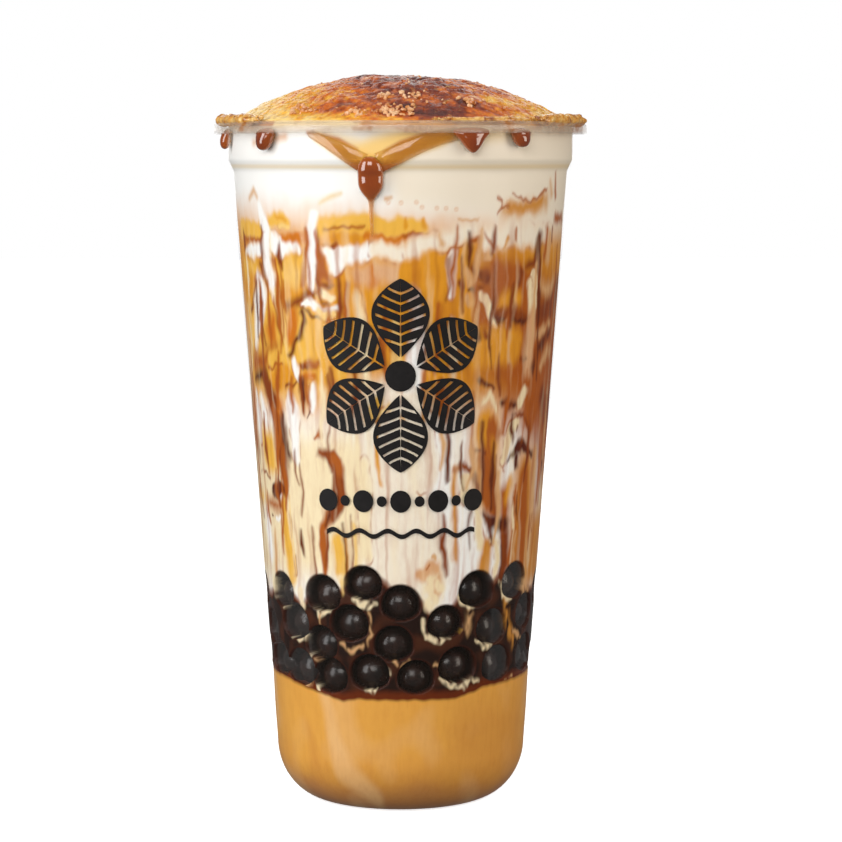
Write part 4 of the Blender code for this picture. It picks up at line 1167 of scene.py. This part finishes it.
def hanging_drop(bm, angle, low, thick, broad):
    """A drip under the lip, from a ball drawn down the wall: broad shoulders above and a round end below."""
    half = (LIP_LOW / MM + 1.2 - low) / 2
    for vertex in bmesh.ops.create_uvsphere(bm, u_segments=32, v_segments=24, radius=1)["verts"]:
        x, y, z = vertex.co
        height = (low + half * (1 + z)) * MM
        flare = (1 + 0.75 * max(0, z + 0.1) ** 1.4) * (1 - 0.28 * (broad - 1) * (1 - z))
        across = math.copysign(abs(x) ** 0.9, x) * broad * thick * flare * MM
        out = max(-IN_PLASTIC, (0.55 - 0.25 * z - y * 0.95) * thick * MM * (1 if z < 0.4 else 1.4 - z * 0.6))
        radius = float(outer_radius(height)) + out
        vertex.co = on_wall(angle + math.degrees(across / radius), radius, height)


drip_bm = bmesh.new()
for drip in RIM_DRIPS:
    hanging_drop(drip_bm, *drip)
for run, flat in ((RUN_LEFT, 0.24), (RUN_RIGHT, 0.24), (RUN_DROP, 0.72)):
    tube(drip_bm, [(on_wall(angle, float(outer_radius(height * MM)) + 0.2 * thick * flat * MM, height * MM),
                    thick * MM) for angle, height, thick in run], flat=flat)
bmesh.ops.recalc_face_normals(drip_bm, faces=drip_bm.faces)
glossy, tree, shader = finish("caramel_syrup", Roughness=0.08, Coat_Weight=1.0, Coat_Roughness=0.02)
drawn = node(tree, "ShaderNodeAttribute", {"attribute_name": "Drink"})
feed(tree, drawn[0], shader.inputs["Base Color"])
feed(tree, drawn[3], shader.inputs["Alpha"])
drips = piece("caramel_drips", drip_bm, glossy, "clear_plastic", "cup")
points = points_of(drips)
away = np.hypot(points[:, 0], points[:, 1])
least = outer_radius(points[:, 2]) - IN_PLASTIC
points[:, :2] *= (np.maximum(away, least) / away)[:, None]
thickness = (np.maximum(away, least) - outer_radius(points[:, 2])) / MM
move_points(drips, points)
colour_points(drips, toned(thickness, SYRUP_TONES), 0.25 + 0.75 * between(thickness, 0.1, 1.1))


# The print on the front: an open flower over a row of beads and a wavy rule, in one black ink. It is a thin
# film on the outside of the wall, laid on as flat patches that bend with it.
INK_LIFT = 0.04 * MM
INK_RADIUS = 37.2
VEIN = 0.22
VEIN_GAP = 0.3
VEIN_ROWS = 6
EDGE_FROM = 0.86
PETALS = 6
FLOWER_HEIGHT = 105.5
PETAL_FOOT = 4.4
PETAL_REACH = (21, 22.5)
PETAL_WIDTH = 6.5
HUB = 3.6
BEADS = 9
BEAD_SPACING = 4.7
BEAD_HEIGHT = 76.2
BEAD_SIZES = (2.6, 1.25)
RULE_HEIGHT = 68.6
RULE_LENGTH = 39
RULE_WIDTH = 1.1
RULE_WAVE = 0.7
RULE_TURNS = 34


def ink_patch(bm, columns, rows, shape):
    """A patch of ink from a flat grid. Its shape gives mm across and height for two shares from 0 to 1."""
    grid = bmesh.ops.create_grid(bm, x_segments=columns, y_segments=rows, size=0.5)["verts"]
    for vertex in grid:
        across, height = shape(vertex.co.x + 0.5, vertex.co.y + 0.5)
        height *= MM
        radius = float(outer_radius(height)) + INK_LIFT
        vertex.co = on_wall(math.degrees(across / INK_RADIUS), radius, height)


def petal(bm, base, tip, width):
    """A petal with a bare midrib and bare slanting veins, which stop short of its edge."""
    base, tip = Vector(base), Vector(tip)
    length = (tip - base).length
    along = (tip - base) / length
    beside = Vector((-along.y, along.x))

    def spread(side, start, end, inner, outer):
        def shape(share_along, share_out):
            out = inner + (outer - inner) * share_out
            u = start + (end - start) * share_along
            u = min(1, u + 0.15 * out * math.sin(math.pi * u))
            half = width * max(0, math.sin(math.pi * u**1.15)) ** 0.8
            point = base + along * length * u + beside * side * (half * out + VEIN * (1 - u))
            return point.x, point.y
        return shape

    edges = [0] + [0.16 + 0.13 * row for row in range(VEIN_ROWS)] + [1]
    gap = VEIN_GAP / length
    for side in (-1, 1):
        ink_patch(bm, 40, 3, spread(side, 0, 1, EDGE_FROM, 1))
        for start, end in zip(edges, edges[1:]):
            ink_patch(bm, 8, 8, spread(side, start + gap * (start > 0), end - gap * (end < 1), 0, EDGE_FROM))


def bead(bm, across, height, size):
    ink_patch(bm, 24, 3, lambda turn, out: (across + out * size * math.cos(2 * math.pi * turn),
                                            height + out * size * math.sin(2 * math.pi * turn)))


def rule(along, up):
    """The shape of the wavy rule."""
    return (along - 0.5) * RULE_LENGTH, (RULE_HEIGHT + RULE_WAVE * math.sin(RULE_TURNS * along)
                                         + (up - 0.5) * RULE_WIDTH)


ink_bm = bmesh.new()
for number in range(PETALS):
    turn = 2 * math.pi / PETALS * number
    out = Vector((math.sin(turn), math.cos(turn)))
    middle = Vector((0, FLOWER_HEIGHT))
    petal(ink_bm, middle + out * PETAL_FOOT, middle + out * Vector(PETAL_REACH), PETAL_WIDTH)
bead(ink_bm, 0, FLOWER_HEIGHT, HUB)
for number in range(BEADS):
    bead(ink_bm, (number - BEADS // 2) * BEAD_SPACING, BEAD_HEIGHT, BEAD_SIZES[number % 2])
ink_patch(ink_bm, 90, 2, rule)
bmesh.ops.remove_doubles(ink_bm, verts=ink_bm.verts, dist=0.01 * MM)
bmesh.ops.dissolve_degenerate(ink_bm, edges=ink_bm.edges, dist=0.005 * MM)
ink_bm.normal_update()
for face in ink_bm.faces:
    middle = face.calc_center_median()
    if face.normal.dot(Vector((middle.x, middle.y, 0))) < 0:
        face.normal_flip()
ink = mottled("black_ink", (500,), ((0.3, rgb(19, 17, 17)), (0.75, rgb(30, 27, 27))),
              Roughness=0.55, Specular_IOR_Level=0.2)
piece("flower_print", ink_bm, ink, "clear_plastic")


# The table: a plain white sheet under the cup, which isn't part of the drink. It glows, so that it melts
# into the background.
floor_bm = bmesh.new()
bmesh.ops.create_grid(floor_bm, x_segments=1, y_segments=1, size=4)
white_top, tree, shader = finish("white_table", Base_Color=(0.85, 0.85, 0.85, 1), Roughness=0.6,
                                 Emission_Color=(1, 1, 1, 1), Emission_Strength=0.95)
floor_mesh = bpy.data.meshes.new("table")
floor_bm.to_mesh(floor_mesh)
floor_bm.free()
floor_mesh.materials.append(white_top)
table = bpy.data.objects.new("table", floor_mesh)
bpy.context.scene.collection.objects.link(table)
table.visible_glossy = False
table.visible_diffuse = False
